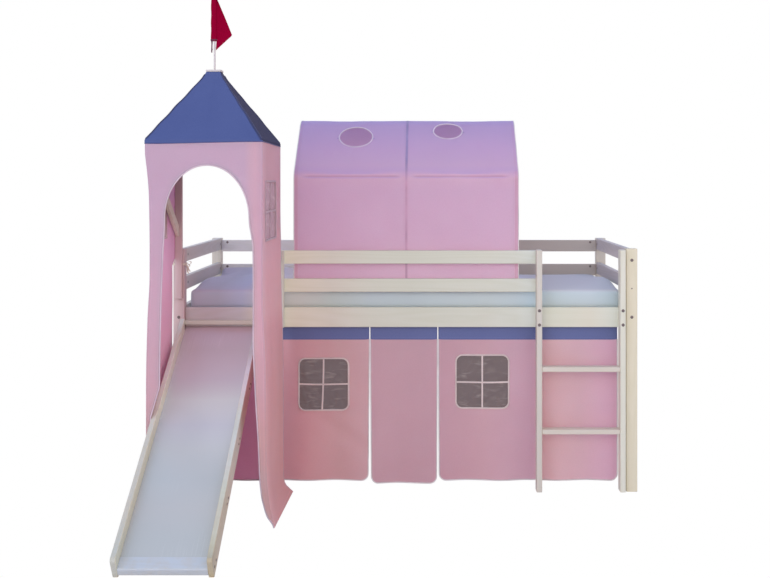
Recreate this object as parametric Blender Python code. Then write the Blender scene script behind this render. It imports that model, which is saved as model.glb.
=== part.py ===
"""Loft bed for a child, with a ladder, a slide under a cloth tower, a play tunnel and a curtain.

Lengths are in metres. X runs along the bed, Y from the front to the back and Z up. The origin is on the
floor, at the middle of the whole footprint with the slide. Depths called reach or u are measured forwards
from the front faces of the corner posts, so they are negative inside the bed.
"""

from math import atan2, ceil, cos, pi, radians, sin, sqrt, tan

import bmesh
import bpy
from mathutils import Vector

# Clearances and small values that many pieces share
FIT = 0.0003              # gap between pieces that touch
CUT_OVERRUN = 0.010       # how far a cutter runs past the face that it cuts
EASED_EDGE = 0.002        # planed-off edge of the timber
CLOTH = 0.002             # thickness of the cloth solids

# Bed frame
BED_LENGTH = 2.100
BED_DEPTH = 1.000
POST_HEIGHT = 1.100
POST_SIDE = 0.050
RAIL_THICKNESS = 0.025
RAIL_HEIGHT = 0.060
BEAM_HEIGHT = 0.090
TOP_RAIL_DROP = 0.010     # upper edges of the front and back rails under the posts' tops
MID_RAIL_DROP = 0.138
BEAM_DROP = 0.268
END_RAIL_STEP = 0.010     # end rails sit higher, so that their bolts pass the others

# Mattress and its base
MATTRESS_HEIGHT = 0.100
MATTRESS_CLEARANCE = 0.006
MATTRESS_CROWN = 0.012
MATTRESS_DRAW_IN = 0.008
MATTRESS_EDGE_RADIUS = 0.028
LEDGE_WIDTH = 0.022
LEDGE_HEIGHT = 0.026
LEDGE_RAISE = 0.030       # ledge foot above the beam's lower edge
SLAT_THICKNESS = 0.016
SLAT_WIDTH = 0.070
SLAT_COUNT = 14
SLAT_END_CLEARANCE = 0.004
FIRST_SLAT_INSET = 0.040
WEBBING_WIDTH = 0.025
WEBBING_THICKNESS = 0.002
WEBBING_SEAT = 0.0006     # how far the webbing is let into the slats
WEBBING_INSET = 0.080

# Ladder
LADDER_WIDTH = 0.401
LADDER_POST_GAP = 0.008   # from the right stile to the corner post
STILE_THICKNESS = 0.025
STILE_DEPTH = 0.060
STILE_TOP_DROP = 0.005    # stile tops under the posts' tops
STILE_FOOT_Z = 0.006
STEP_THICKNESS = 0.022
STEP_DEPTH = 0.052
STEP_SETBACK = 0.004      # step front behind the stile front
STEP_LOW_SHARE = 0.3585   # undersides of the steps as shares of the front beam's height
STEP_HIGH_SHARE = 0.7372

# Slide
SLIDE_WIDTH = 0.3615
SLIDE_OUTER_OFFSET = 0.0325   # left board from the left end of the bed
SLIDE_TOP_RISE = 0.043        # upper edge of the side boards above the foot of the front beam
SLIDE_ANGLE = radians(30.9)
SLIDE_BOARD_HEIGHT = 0.090
SLIDE_BOARD_THICKNESS = 0.020
SLIDE_FOOT_FLAT = 0.005
SLIDE_NOSE_RADIUS = 0.016
SLIDE_PANEL_DEPTH = 0.046     # panel face below the upper edge of the boards
SLIDE_PANEL_THICKNESS = 0.006
SLIDE_BATTEN_WIDTH = 0.070
SLIDE_BATTEN_THICKNESS = 0.020
SLIDE_BATTEN_UPPER_SHARE = 0.2697     # middles of the battens along the boards
SLIDE_BATTEN_MIDDLE_SHARE = 0.5058
SLIDE_BATTEN_LOWER_SHARE = 0.7334
SLIDE_STRIP_LENGTH = 0.056
SLIDE_STRIP_THICKNESS = 0.030
SLIDE_STRIP_ROUND = 0.006
SLIDE_CLEAT_HEIGHT = 0.019
SLIDE_CLEAT_RISE = 0.033      # cleat top above the foot of the front beam

# Guard upright between the slide entrance and the front guard rails
UPRIGHT_WIDTH = 0.050
UPRIGHT_OFFSET = 0.450        # its left side from the left end of the bed

# Tower frame
TOWER_LEFT_OFFSET = 0.009     # outer face of the cloth from the left end of the bed
TOWER_WIDTH = 0.475
TOWER_DEPTH = 0.570
TOWER_EAVE_RISE = 0.4685      # eave above the posts' tops
TOWER_TIMBER_DROP = 0.002     # top of the eave rails under the eave
TOWER_UPRIGHT_OVERLAP = 0.225 # how far the uprights reach down the posts
TOWER_UPRIGHT_WIDTH = 0.032
TOWER_TIMBER = 0.020
TOWER_RAIL_HEIGHT = 0.030
BRACE_DROP = 0.4135           # foot of the braces under the eave
BRACE_HEIGHT = 0.048
BRACE_END_HEIGHT = 0.0256
BRACE_THICKNESS = 0.016
RAFTER_WIDTH = 0.014
RAFTER_HEIGHT = 0.030
RAFTER_START = 0.020
RAFTER_ROOM = 0.011           # ridge of the cloth above the rafter
TOP_OFFSET_X = -0.0045        # the top block stands a little off the middle of the tower
TOP_OFFSET_Y = -0.015
TOP_BLOCK_SIDE = 0.052
TOP_BLOCK_HEIGHT = 0.050
TOP_PLATE_SIDE = 0.063
TOP_PLATE_THICKNESS = 0.008
ROOF_RISE = 0.3105            # top plate above the eave

# Flag
POLE_RADIUS = 0.004
POLE_SOCKET_DEPTH = 0.022
POLE_RISE = 0.357             # pole top above the top plate
FLAG_TOP_DROP = 0.006
FLAG_SLEEVE_LENGTH = 0.227
FLAG_DROOP_DROP = 0.263       # lowest corner under the flag's top
FLAG_DROOP_REACH = 0.005
FLAG_TIP_DROP = 0.201
FLAG_TIP_REACH = 0.080
FLAG_PEAK_WIDTH = 0.004
FLAG_WAVE = 0.006
FLAG_THICKNESS = 0.0016
FLAG_SLEEVE_CLEARANCE = 0.0006
FLAG_TIP_SHARE = 0.800        # part of the rows that lead from the peak to the tip

# Tower cloth
ROOF_HEM = 0.006
ROOF_COLLAR_HEIGHT = 0.032
ROOF_COLLAR_SPREAD = 0.017
ROOF_SAG = 0.004
COLLAR_ROOM = 0.0008           # from the collar's cloth to the top block and its plate
ARCH_HALF_WIDTH = 0.171
ARCH_OFFSET = 0.2504          # arch centre from the cloth's left side
ARCH_SPRING_DROP = 0.315      # where the arch begins under the eave
ARCH_RISE = 0.2175
DRAPE_FOOT_Z = 0.006
DRAPE_LEFT_NARROW = 0.022     # left front strip where it passes outside the slide board
DRAPE_NARROW_CLEARANCE = 0.006
DRAPE_WIDENING = 0.125        # height over which the strip widens above the slide board
DRAPE_CORNER_RISE = 0.110     # height of the rounded corner at the left strip's foot
DRAPE_TIP_WIDTH = 0.006
DRAPE_FREE_DROP = 0.070       # below this under the posts' tops the walls hang free of the uprights
DRAPE_HELD_DROP = 0.030
DRAPE_LEFT_RELEASE = 0.075    # the left wall's rear edge hangs this far in front of the bed
DRAPE_RIGHT_RELEASE = 0.020
WALL_PLAIN_DROP = 0.044       # the walls hang straight above this, under the eave
WALL_LEFT_EASE = 5            # how sharply each wall turns towards its front corner
WALL_RIGHT_EASE = 1
WALL_FOLD = 0.003
WALL_FOLD_PITCH = 0.190

# Edges of the hanging cloth, as pairs of a share of the eave's height and an offset in metres
LEFT_CORNER_INSETS = ((0.000, 0.0020), (0.250, 0.0047), (0.359, 0.0047), (0.540, 0.0105), (0.650, 0.0190),
                      (0.720, 0.0192), (0.854, 0.0165), (0.893, 0.0130), (0.925, 0.0080), (0.955, 0.0025),
                      (0.972, 0.0000))
LEFT_STRIP_EDGES = ((0.000, 0.0588), (0.367, 0.0588), (0.540, 0.0644), (0.720, 0.0733), (0.800, 0.0794))
LEFT_REAR_SPREADS = ((0.000, 0.0080), (0.150, 0.0000))
RIGHT_CORNER_SPREADS = ((0.0038, 0.0495), (0.0115, 0.0473), (0.037, 0.0364), (0.076, 0.0263), (0.128, 0.0185),
                        (0.215, 0.0158), (0.411, 0.0126), (0.510, 0.0060), (0.600, 0.0000))
RIGHT_REAR_SPREADS = ((0.0038, 0.0614), (0.013, 0.0450), (0.023, 0.0290), (0.036, 0.0195), (0.064, 0.0165),
                      (0.215, 0.0160), (0.411, 0.0147), (0.590, 0.0079), (0.720, 0.0025), (0.820, 0.0000))
RIGHT_STRIP_EDGES = ((0.0038, 0.0460), (0.0094, 0.0440), (0.034, 0.0190), (0.060, 0.0060), (0.086, -0.0036),
                     (0.143, -0.0125), (0.215, -0.0169), (0.359, -0.0294), (0.510, -0.0375), (0.640, -0.0378),
                     (0.720, -0.0382), (0.743, -0.0415), (0.7992, -0.0536))

# Tunnel
TUNNEL_LENGTH = 1.020
TUNNEL_HEM_RISE = 0.030       # hem above the foot of the middle rails
TUNNEL_WALL = 0.508           # upright wall from the hem to the shoulder
TUNNEL_SHELL = 0.003
TUNNEL_SLOPE_END = 0.350      # from the bed's front to where the slope meets the flat top
TUNNEL_SLOPE_RISE = 0.257
TUNNEL_TOP_RISE = 0.007
TUNNEL_SHOULDER_RADIUS = 0.060
TUNNEL_TOP_RADIUS = 0.130
TUNNEL_SAG = 0.004
HOOP_DIAMETER = 0.008
HOOP_END_INSET = 0.012
HOOP_ROOM = 0.0005            # from the hoops to the cover
LEFT_HOLE_X = -0.239
LEFT_HOLE_RUN = 0.198         # level distance from the front wall to the hole's middle
LEFT_HOLE_RADIUS = 0.0775
RIGHT_HOLE_X = 0.197
RIGHT_HOLE_RUN = 0.240
RIGHT_HOLE_RADIUS = 0.064

# Curtain
CURTAIN_THICKNESS = 0.002
CURTAIN_FOLD = 0.007
CURTAIN_FOLD_PITCH = 0.270
CURTAIN_TOP_DROP = 0.0002     # panel top below the beam
CURTAIN_EDGE_SHARE = 0.200    # thickness of the panels at the edge that they turn about
CURTAIN_LEFT_END = 0.057      # panel edge from the left end of the bed
CURTAIN_RIGHT_END = 0.077     # panel edge from the right end of the bed
CURTAIN_DOOR_WIDTH = 0.307
CURTAIN_DOOR_OFFSET = -0.008  # door middle from the bed middle
CURTAIN_GAP = 0.0035
CURTAIN_DRAW_IN = 0.004       # how much each edge beside the door draws in at the foot
CURTAIN_SIDE_FOOT_Z = 0.039
CURTAIN_DOOR_FOOT_Z = 0.026
CURTAIN_CORNER = 0.032
TAPE_HEIGHT = 0.024
TAPE_RAISE = 0.0002           # tape foot above the beam's lower edge

# Faces along curves
NOSE_STEPS = 3
CORNER_STEPS = 4
ROUND_SIDES = 12
HOLE_SIDES = 32
ARCH_SIDE_STEPS = 5           # steps of the arch that face a side wall; twice as many face the roof
LEG_STEPS = 12
STRIP_COLUMNS = 3
WALL_COLUMNS = 9
WALL_ROWS = 18
ROOF_ROWS = 4
ROOF_SIDE_STEPS = 5
TUNNEL_STATIONS = 9
CURTAIN_ROWS = 6
FOLD_STEPS = 7                # curtain columns along one fold
MATTRESS_STATIONS = 11
MATTRESS_WIDTH_STEPS = 8
FLAG_ROWS = 10
FLAG_COLUMNS = 4

# Heights worked out from the sizes
TOP_RAIL_BOTTOM_Z = POST_HEIGHT - TOP_RAIL_DROP - RAIL_HEIGHT
MID_RAIL_BOTTOM_Z = POST_HEIGHT - MID_RAIL_DROP - RAIL_HEIGHT
BEAM_BOTTOM_Z = POST_HEIGHT - BEAM_DROP - BEAM_HEIGHT
STILE_TOP_Z = POST_HEIGHT - STILE_TOP_DROP
STEP_LOW_Z = BEAM_BOTTOM_Z * STEP_LOW_SHARE
STEP_HIGH_Z = BEAM_BOTTOM_Z * STEP_HIGH_SHARE
LEDGE_TOP_Z = BEAM_BOTTOM_Z + LEDGE_RAISE + LEDGE_HEIGHT
SLAT_BOTTOM_Z = LEDGE_TOP_Z + FIT
SLAT_TOP_Z = SLAT_BOTTOM_Z + SLAT_THICKNESS
MATTRESS_FOOT_Z = SLAT_TOP_Z + FIT
SLIDE_TOP_Z = BEAM_BOTTOM_Z + SLIDE_TOP_RISE
SLIDE_CLEAT_TOP_Z = BEAM_BOTTOM_Z + SLIDE_CLEAT_RISE
TOWER_EAVE_Z = POST_HEIGHT + TOWER_EAVE_RISE
TOWER_UPRIGHT_FOOT_Z = POST_HEIGHT - TOWER_UPRIGHT_OVERLAP
TIMBER_TOP_Z = TOWER_EAVE_Z - TOWER_TIMBER_DROP
TIMBER_RAIL_Z = TIMBER_TOP_Z - TOWER_RAIL_HEIGHT
BRACE_FOOT_Z = TOWER_EAVE_Z - BRACE_DROP
TOP_PLATE_Z = TOWER_EAVE_Z + ROOF_RISE
TOP_PLATE_FOOT_Z = TOP_PLATE_Z - TOP_PLATE_THICKNESS
TOP_BLOCK_FOOT_Z = TOP_PLATE_FOOT_Z - TOP_BLOCK_HEIGHT
COLLAR_FOOT_Z = TOP_PLATE_FOOT_Z - ROOF_COLLAR_HEIGHT
POLE_TOP_Z = TOP_PLATE_Z + POLE_RISE
FLAG_TOP_Z = POLE_TOP_Z - FLAG_TOP_DROP
FLAG_SLEEVE_FOOT_Z = FLAG_TOP_Z - FLAG_SLEEVE_LENGTH
FLAG_DROOP_Z = FLAG_TOP_Z - FLAG_DROOP_DROP
FLAG_TIP_Z = FLAG_TOP_Z - FLAG_TIP_DROP
CLOTH_TOP_Z = TOWER_EAVE_Z - FIT
ARCH_SPRING_Z = TOWER_EAVE_Z - ARCH_SPRING_DROP
DRAPE_FREE_Z = POST_HEIGHT - DRAPE_FREE_DROP
DRAPE_HELD_Z = POST_HEIGHT - DRAPE_HELD_DROP
WALL_PLAIN_Z = TOWER_EAVE_Z - WALL_PLAIN_DROP
TUNNEL_HEM_Z = MID_RAIL_BOTTOM_Z + TUNNEL_HEM_RISE
TUNNEL_SHOULDER_Z = TUNNEL_HEM_Z + TUNNEL_WALL
TUNNEL_SLOPE_END_Z = TUNNEL_SHOULDER_Z + TUNNEL_SLOPE_RISE
TUNNEL_TOP_Z = TUNNEL_SLOPE_END_Z + TUNNEL_TOP_RISE
CURTAIN_TOP_Z = BEAM_BOTTOM_Z - CURTAIN_TOP_DROP

# Places worked out from the sizes
SLIDE_SLOPE = tan(SLIDE_ANGLE)
SLIDE_BOTTOM_Z = SLIDE_TOP_Z - SLIDE_BOARD_HEIGHT / cos(SLIDE_ANGLE)
SLIDE_HEEL = SLIDE_BOTTOM_Z / SLIDE_SLOPE
SLIDE_TOE = SLIDE_HEEL + SLIDE_FOOT_FLAT
SLIDE_LENGTH = SLIDE_TOE * cos(SLIDE_ANGLE) + SLIDE_TOP_Z * sin(SLIDE_ANGLE)
SLIDE_REACH = (SLIDE_LENGTH - SLIDE_NOSE_RADIUS) * cos(SLIDE_ANGLE) \
    - SLIDE_NOSE_RADIUS * sin(SLIDE_ANGLE) + SLIDE_NOSE_RADIUS
FRONT_Y = (SLIDE_REACH - BED_DEPTH) / 2
LEFT_X = -BED_LENGTH / 2
RIGHT_X = BED_LENGTH / 2
INNER_LEFT_X = LEFT_X + POST_SIDE
INNER_RIGHT_X = RIGHT_X - POST_SIDE
BACK = -BED_DEPTH
INNER_FRONT = -POST_SIDE
INNER_BACK = BACK + POST_SIDE
RAIL_FRONT = INNER_FRONT + RAIL_THICKNESS
SLIDE_LEFT_X = LEFT_X + SLIDE_OUTER_OFFSET
SLIDE_RIGHT_X = SLIDE_LEFT_X + SLIDE_WIDTH
SLIDE_INNER_LEFT_X = SLIDE_LEFT_X + SLIDE_BOARD_THICKNESS
SLIDE_INNER_RIGHT_X = SLIDE_RIGHT_X - SLIDE_BOARD_THICKNESS
UPRIGHT_LEFT_X = LEFT_X + UPRIGHT_OFFSET
UPRIGHT_RIGHT_X = UPRIGHT_LEFT_X + UPRIGHT_WIDTH
LADDER_RIGHT_X = INNER_RIGHT_X - LADDER_POST_GAP
LADDER_LEFT_X = LADDER_RIGHT_X - LADDER_WIDTH
LADDER_INNER_LEFT_X = LADDER_LEFT_X + STILE_THICKNESS
LADDER_INNER_RIGHT_X = LADDER_RIGHT_X - STILE_THICKNESS
STILE_BACK = RAIL_FRONT + FIT
STILE_FRONT = STILE_BACK + STILE_DEPTH
TOWER_LEFT_X = LEFT_X + TOWER_LEFT_OFFSET
TOWER_RIGHT_X = TOWER_LEFT_X + TOWER_WIDTH
TIMBER_INSET = CLOTH + FIT
TIMBER_LEFT_X = TOWER_LEFT_X + TIMBER_INSET
TIMBER_RIGHT_X = TOWER_RIGHT_X - TIMBER_INSET
TIMBER_FRONT = TOWER_DEPTH - TIMBER_INSET
UPRIGHT_FACE = FIT + TOWER_TIMBER
TOP_X = (TOWER_LEFT_X + TOWER_RIGHT_X) / 2 + TOP_OFFSET_X
TOP_REACH = TOWER_DEPTH / 2 - TOP_OFFSET_Y
COLLAR_TOP_HALF = TOP_BLOCK_SIDE / 2 + COLLAR_ROOM + CLOTH / 2
COLLAR_FOOT_HALF = COLLAR_TOP_HALF + ROOF_COLLAR_SPREAD
ARCH_X = TOWER_LEFT_X + ARCH_OFFSET
DRAPE_NARROW_Z = SLIDE_TOP_Z - TOWER_DEPTH * SLIDE_SLOPE + DRAPE_NARROW_CLEARANCE
DRAPE_WIDE_Z = DRAPE_NARROW_Z + DRAPE_WIDENING
TUNNEL_HALF_DEPTH = BED_DEPTH / 2 - POST_SIDE - FIT
TUNNEL_SLOPE_HALF = BED_DEPTH / 2 - TUNNEL_SLOPE_END
TUNNEL_SLOPE_ANGLE = atan2(TUNNEL_SLOPE_END_Z - TUNNEL_SHOULDER_Z, TUNNEL_HALF_DEPTH - TUNNEL_SLOPE_HALF)
CURTAIN_PLANE = INNER_FRONT - FIT - CURTAIN_THICKNESS / 2


def front(reach):
    """Y of a plane that stands a reach in front of the corner posts."""
    return FRONT_Y - reach


def smooth_step(value, low, high):
    """0 below low, 1 above high, and a smooth rise between them."""
    share = min(max((value - low) / (high - low), 0), 1)
    return share * share * (3 - 2 * share)


def between(start, end, share):
    """The value that lies a share of the way from start to end."""
    return start + (end - start) * share


def along(table, share):
    """Value at a share of a table of pairs, on a smooth curve that never swings past them."""
    if share <= table[0][0]:
        return table[0][1]
    if share >= table[-1][0]:
        return table[-1][1]
    rises = [(after[1] - before[1]) / (after[0] - before[0]) for before, after in zip(table, table[1:])]
    slopes = [0.0] + [2 * left * right / (left + right) if left * right > 0 else 0.0
                      for left, right in zip(rises, rises[1:])] + [0.0]
    index = next(place for place in range(len(rises)) if share <= table[place + 1][0])
    (low, start), (high, end) = table[index], table[index + 1]
    part = (share - low) / (high - low)
    lean = part * (1 - part) * (high - low) * between(slopes[index], -slopes[index + 1], part)
    return between(start, end, part * part * (3 - 2 * part)) + lean


def shares(steps):
    """Evenly spaced shares from 0 to 1."""
    return [step / steps for step in range(steps + 1)]


# Materials
def linear(channel):
    """A display colour channel of 0 to 255 as a linear value."""
    value = channel / 255
    return value / 12.92 if value <= 0.04045 else ((value + 0.055) / 1.055) ** 2.4


def finish(name, red, green, blue, roughness, metallic=0.0, alpha=1.0):
    """Principled material from a display colour."""
    material = bpy.data.materials.new(name)
    material.use_nodes = True
    shader = material.node_tree.nodes["Principled BSDF"]
    colour = (linear(red), linear(green), linear(blue), 1.0)
    shader.inputs["Base Color"].default_value = colour
    shader.inputs["Roughness"].default_value = roughness
    shader.inputs["Metallic"].default_value = metallic
    shader.inputs["Alpha"].default_value = alpha
    material.diffuse_color = colour
    return material


# Mesh helpers
def place(name, mesh, material, location=(0, 0, 0)):
    """Put a mesh into the scene under its name."""
    mesh.materials.append(material)
    obj = bpy.data.objects.new(name, mesh)
    obj.location = location
    bpy.context.scene.collection.objects.link(obj)
    return obj


def finished_mesh(name, bm):
    """Mesh of a closed bmesh, its faces turned outwards."""
    bmesh.ops.recalc_face_normals(bm, faces=bm.faces)
    mesh = bpy.data.meshes.new(name)
    bm.to_mesh(mesh)
    bm.free()
    return mesh


def shade_round(mesh):
    """Smooth shading that keeps real edges sharp."""
    mesh.shade_smooth()
    mesh.set_sharp_from_angle(angle=radians(40))


def ease_edges(obj, width=EASED_EDGE):
    """Plane off the sharp edges of a timber piece."""
    bevel = obj.modifiers.new("eased edges", "BEVEL")
    bevel.width = width
    bevel.segments = 1
    bevel.limit_method = "ANGLE"
    bevel.angle_limit = radians(35)


def block_mesh(name, size):
    """Mesh of a cuboid about its own middle."""
    bm = bmesh.new()
    bmesh.ops.create_cube(bm, size=1)
    bmesh.ops.scale(bm, vec=size, verts=bm.verts)
    return finished_mesh(name, bm)


def board(name, x_range, reach_range, z_range, material, eased=True):
    """Straight board between two X, two reaches and two heights."""
    low = Vector((x_range[0], front(reach_range[1]), z_range[0]))
    high = Vector((x_range[1], front(reach_range[0]), z_range[1]))
    obj = place(name, block_mesh(name, high - low), material, (low + high) / 2)
    if eased:
        ease_edges(obj)
    return obj


def side_profile(name, outline, x_range, material, eased=True):
    """Board cut to an outline of (reach, z) points and as thick as its X range."""
    return turned_profile(name, outline, x_range[1] - x_range[0], ((x_range[0] + x_range[1]) / 2, FRONT_Y),
                          (0, -1), material, eased)


def turned_profile(name, outline, width, foot, heading, material, eased=True):
    """Board cut to an outline of (run, z) points in the upright plane through foot along heading."""
    bm = bmesh.new()
    corners = [bm.verts.new((-width / 2, -run, z)) for run, z in outline]
    face = bm.faces.new(corners)
    wall = bmesh.ops.extrude_face_region(bm, geom=[face])
    moved = [item for item in wall["geom"] if isinstance(item, bmesh.types.BMVert)]
    bmesh.ops.translate(bm, vec=(width, 0, 0), verts=moved)
    obj = place(name, finished_mesh(name, bm), material, (foot[0], foot[1], 0))
    obj.rotation_euler.z = atan2(heading[0], -heading[1])
    if eased:
        ease_edges(obj)
    return obj


def cylinder(name, radius, start, end, material, sides=ROUND_SIDES):
    """Round bar from one point to another."""
    start, end = Vector(start), Vector(end)
    bm = bmesh.new()
    bmesh.ops.create_cone(bm, cap_ends=True, segments=sides, radius1=radius, radius2=radius,
                          depth=(end - start).length)
    mesh = finished_mesh(name, bm)
    shade_round(mesh)
    obj = place(name, mesh, material, (start + end) / 2)
    obj.rotation_mode = "QUATERNION"
    obj.rotation_quaternion = Vector((0, 0, 1)).rotation_difference(end - start)
    return obj


def loft(name, sections, material, location=(0, 0, 0)):
    """Closed solid through closed sections that have equal numbers of points, with flat ends."""
    bm = bmesh.new()
    rings = [[bm.verts.new(point) for point in section] for section in sections]
    count = len(rings[0])
    for ring, following in zip(rings, rings[1:]):
        for index in range(count):
            after = (index + 1) % count
            bm.faces.new((ring[index], ring[after], following[after], following[index]))
    bm.faces.new(rings[0])
    bm.faces.new(rings[-1])
    return place(name, finished_mesh(name, bm), material, location)


def cloth_sheet(name, rows, material, thickness=CLOTH, origin=(0, 0, 0), closed=False):
    """Cloth of an even thickness about rows of points; closed joins the end of each row to its start."""
    bm = bmesh.new()
    origin = Vector(origin)
    grid = [[bm.verts.new(Vector(point) - origin) for point in row] for row in rows]
    columns = len(grid[0])
    for row, following in zip(grid, grid[1:]):
        for index in range(columns if closed else columns - 1):
            after = (index + 1) % columns
            bm.faces.new((row[index], row[after], following[after], following[index]))
    mesh = finished_mesh(name, bm)
    shade_round(mesh)
    obj = place(name, mesh, material, origin)
    wall = obj.modifiers.new("thickness", "SOLIDIFY")
    wall.thickness = thickness
    wall.offset = 0
    wall.use_even_offset = True
    return obj


def hide_cutter(obj):
    """Mark a helper solid that only cuts or joins."""
    obj.hide_render = True
    obj.display_type = "WIRE"


def boolean(obj, other, operation):
    """Cut obj by other, or join them."""
    hide_cutter(other)
    modifier = obj.modifiers.new(operation.lower(), "BOOLEAN")
    modifier.operation = operation
    modifier.solver = "EXACT"
    modifier.object = other


def rounded(outline, radii, steps=CORNER_STEPS):
    """Open outline of 2-D points whose inner corners become arcs of the given radii, 0 for a sharp one."""
    result = [outline[0]]
    for before, corner, after, radius in zip(outline, outline[1:], outline[2:], radii):
        if radius == 0:
            result.append(corner)
            continue
        corner = Vector(corner)
        towards_before = (Vector(before) - corner).normalized()
        towards_after = (Vector(after) - corner).normalized()
        half = towards_before.angle(towards_after) / 2
        middle = corner + (towards_before + towards_after).normalized() * radius / sin(half)
        start = corner + towards_before * radius / tan(half) - middle
        end = corner + towards_after * radius / tan(half) - middle
        turn = atan2(start.x * end.y - start.y * end.x, start.dot(end))
        for share in shares(steps):
            angle = turn * share
            point = Vector((start.x * cos(angle) - start.y * sin(angle),
                            start.x * sin(angle) + start.y * cos(angle)))
            result.append(tuple(middle + point))
    result.append(outline[-1])
    return result


# Bed frame
def build_posts(wood):
    """Four square corner posts."""
    for side, x_low in (("left", LEFT_X), ("right", INNER_RIGHT_X)):
        for row, reach_low in (("front", INNER_FRONT), ("back", BACK)):
            board(f"post_{row}_{side}", (x_low, x_low + POST_SIDE), (reach_low, reach_low + POST_SIDE),
                  (0, POST_HEIGHT), wood)


def build_long_rails(wood):
    """Beams and guard rails that run along the bed."""
    whole = (INNER_LEFT_X + FIT, INNER_RIGHT_X - FIT)
    guarded = (UPRIGHT_LEFT_X, LADDER_INNER_LEFT_X)
    front_plane = (INNER_FRONT, RAIL_FRONT)
    back_plane = (INNER_BACK - RAIL_THICKNESS, INNER_BACK)
    beam = (BEAM_BOTTOM_Z, BEAM_BOTTOM_Z + BEAM_HEIGHT)
    middle = (MID_RAIL_BOTTOM_Z, MID_RAIL_BOTTOM_Z + RAIL_HEIGHT)
    top = (TOP_RAIL_BOTTOM_Z, TOP_RAIL_BOTTOM_Z + RAIL_HEIGHT)
    board("beam_front", whole, front_plane, beam, wood)
    board("beam_back", whole, back_plane, beam, wood)
    board("guard_back_mid", whole, back_plane, middle, wood)
    board("guard_back_top", whole, back_plane, top, wood)
    board("guard_front_mid", guarded, front_plane, middle, wood)
    board("guard_front_top", guarded, front_plane, top, wood)
    board("upright_middle", (UPRIGHT_LEFT_X, UPRIGHT_RIGHT_X), (RAIL_FRONT + FIT, 0),
          (BEAM_BOTTOM_Z, TOP_RAIL_BOTTOM_Z + RAIL_HEIGHT), wood)


def build_end_rails(wood):
    """Beam and two rails across each end of the bed."""
    depth = (INNER_BACK + FIT, INNER_FRONT - FIT)
    for side, x_low in (("left", INNER_LEFT_X - RAIL_THICKNESS), ("right", INNER_RIGHT_X)):
        width = (x_low, x_low + RAIL_THICKNESS)
        beam_z = BEAM_BOTTOM_Z + END_RAIL_STEP
        middle_z = MID_RAIL_BOTTOM_Z + END_RAIL_STEP
        top_z = TOP_RAIL_BOTTOM_Z + END_RAIL_STEP
        board(f"beam_{side}", width, depth, (beam_z, beam_z + BEAM_HEIGHT), wood)
        board(f"rail_{side}_mid", width, depth, (middle_z, middle_z + RAIL_HEIGHT), wood)
        board(f"rail_{side}_top", width, depth, (top_z, top_z + RAIL_HEIGHT), wood)


def build_base(wood, raw_wood):
    """Ledges along both beams and the slats that lie on them, held apart by webbing."""
    ledge_z = (LEDGE_TOP_Z - LEDGE_HEIGHT, LEDGE_TOP_Z)
    length = (INNER_LEFT_X + FIT, INNER_RIGHT_X - FIT)
    board("slat_ledge_front", length, (INNER_FRONT - FIT - LEDGE_WIDTH, INNER_FRONT - FIT), ledge_z, wood)
    board("slat_ledge_back", length, (INNER_BACK + FIT, INNER_BACK + FIT + LEDGE_WIDTH), ledge_z, wood)

    first_x = INNER_LEFT_X + FIRST_SLAT_INSET + SLAT_WIDTH / 2
    last_x = INNER_RIGHT_X - FIRST_SLAT_INSET - SLAT_WIDTH / 2
    slat_length = BED_DEPTH - (POST_SIDE + SLAT_END_CLEARANCE) * 2
    bm = bmesh.new()
    for share in shares(SLAT_COUNT - 1):
        slat = bmesh.ops.create_cube(bm, size=1)["verts"]
        bmesh.ops.scale(bm, vec=(SLAT_WIDTH, slat_length, SLAT_THICKNESS), verts=slat)
        bmesh.ops.translate(bm, vec=(between(first_x, last_x, share), 0, 0), verts=slat)
    middle_y = front(BACK / 2)
    slat_middle_z = (SLAT_BOTTOM_Z + SLAT_TOP_Z) / 2
    slats = place("slats", finished_mesh("slats", bm), raw_wood, (0, middle_y, slat_middle_z))

    bm = bmesh.new()
    strap_length = last_x - first_x + SLAT_WIDTH / 2
    strap_y = slat_length / 2 - WEBBING_INSET - WEBBING_WIDTH / 2
    for strap_side in (-1, 1):
        strap = bmesh.ops.create_cube(bm, size=1)["verts"]
        bmesh.ops.scale(bm, vec=(strap_length, WEBBING_WIDTH, WEBBING_THICKNESS), verts=strap)
        bmesh.ops.translate(bm, vec=(0, strap_side * strap_y, 0), verts=strap)
    strap_z = SLAT_BOTTOM_Z + WEBBING_SEAT - WEBBING_THICKNESS / 2
    base = place("slat_base", finished_mesh("slat_base", bm), raw_wood, (0, middle_y, strap_z))
    boolean(base, slats, "UNION")


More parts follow.
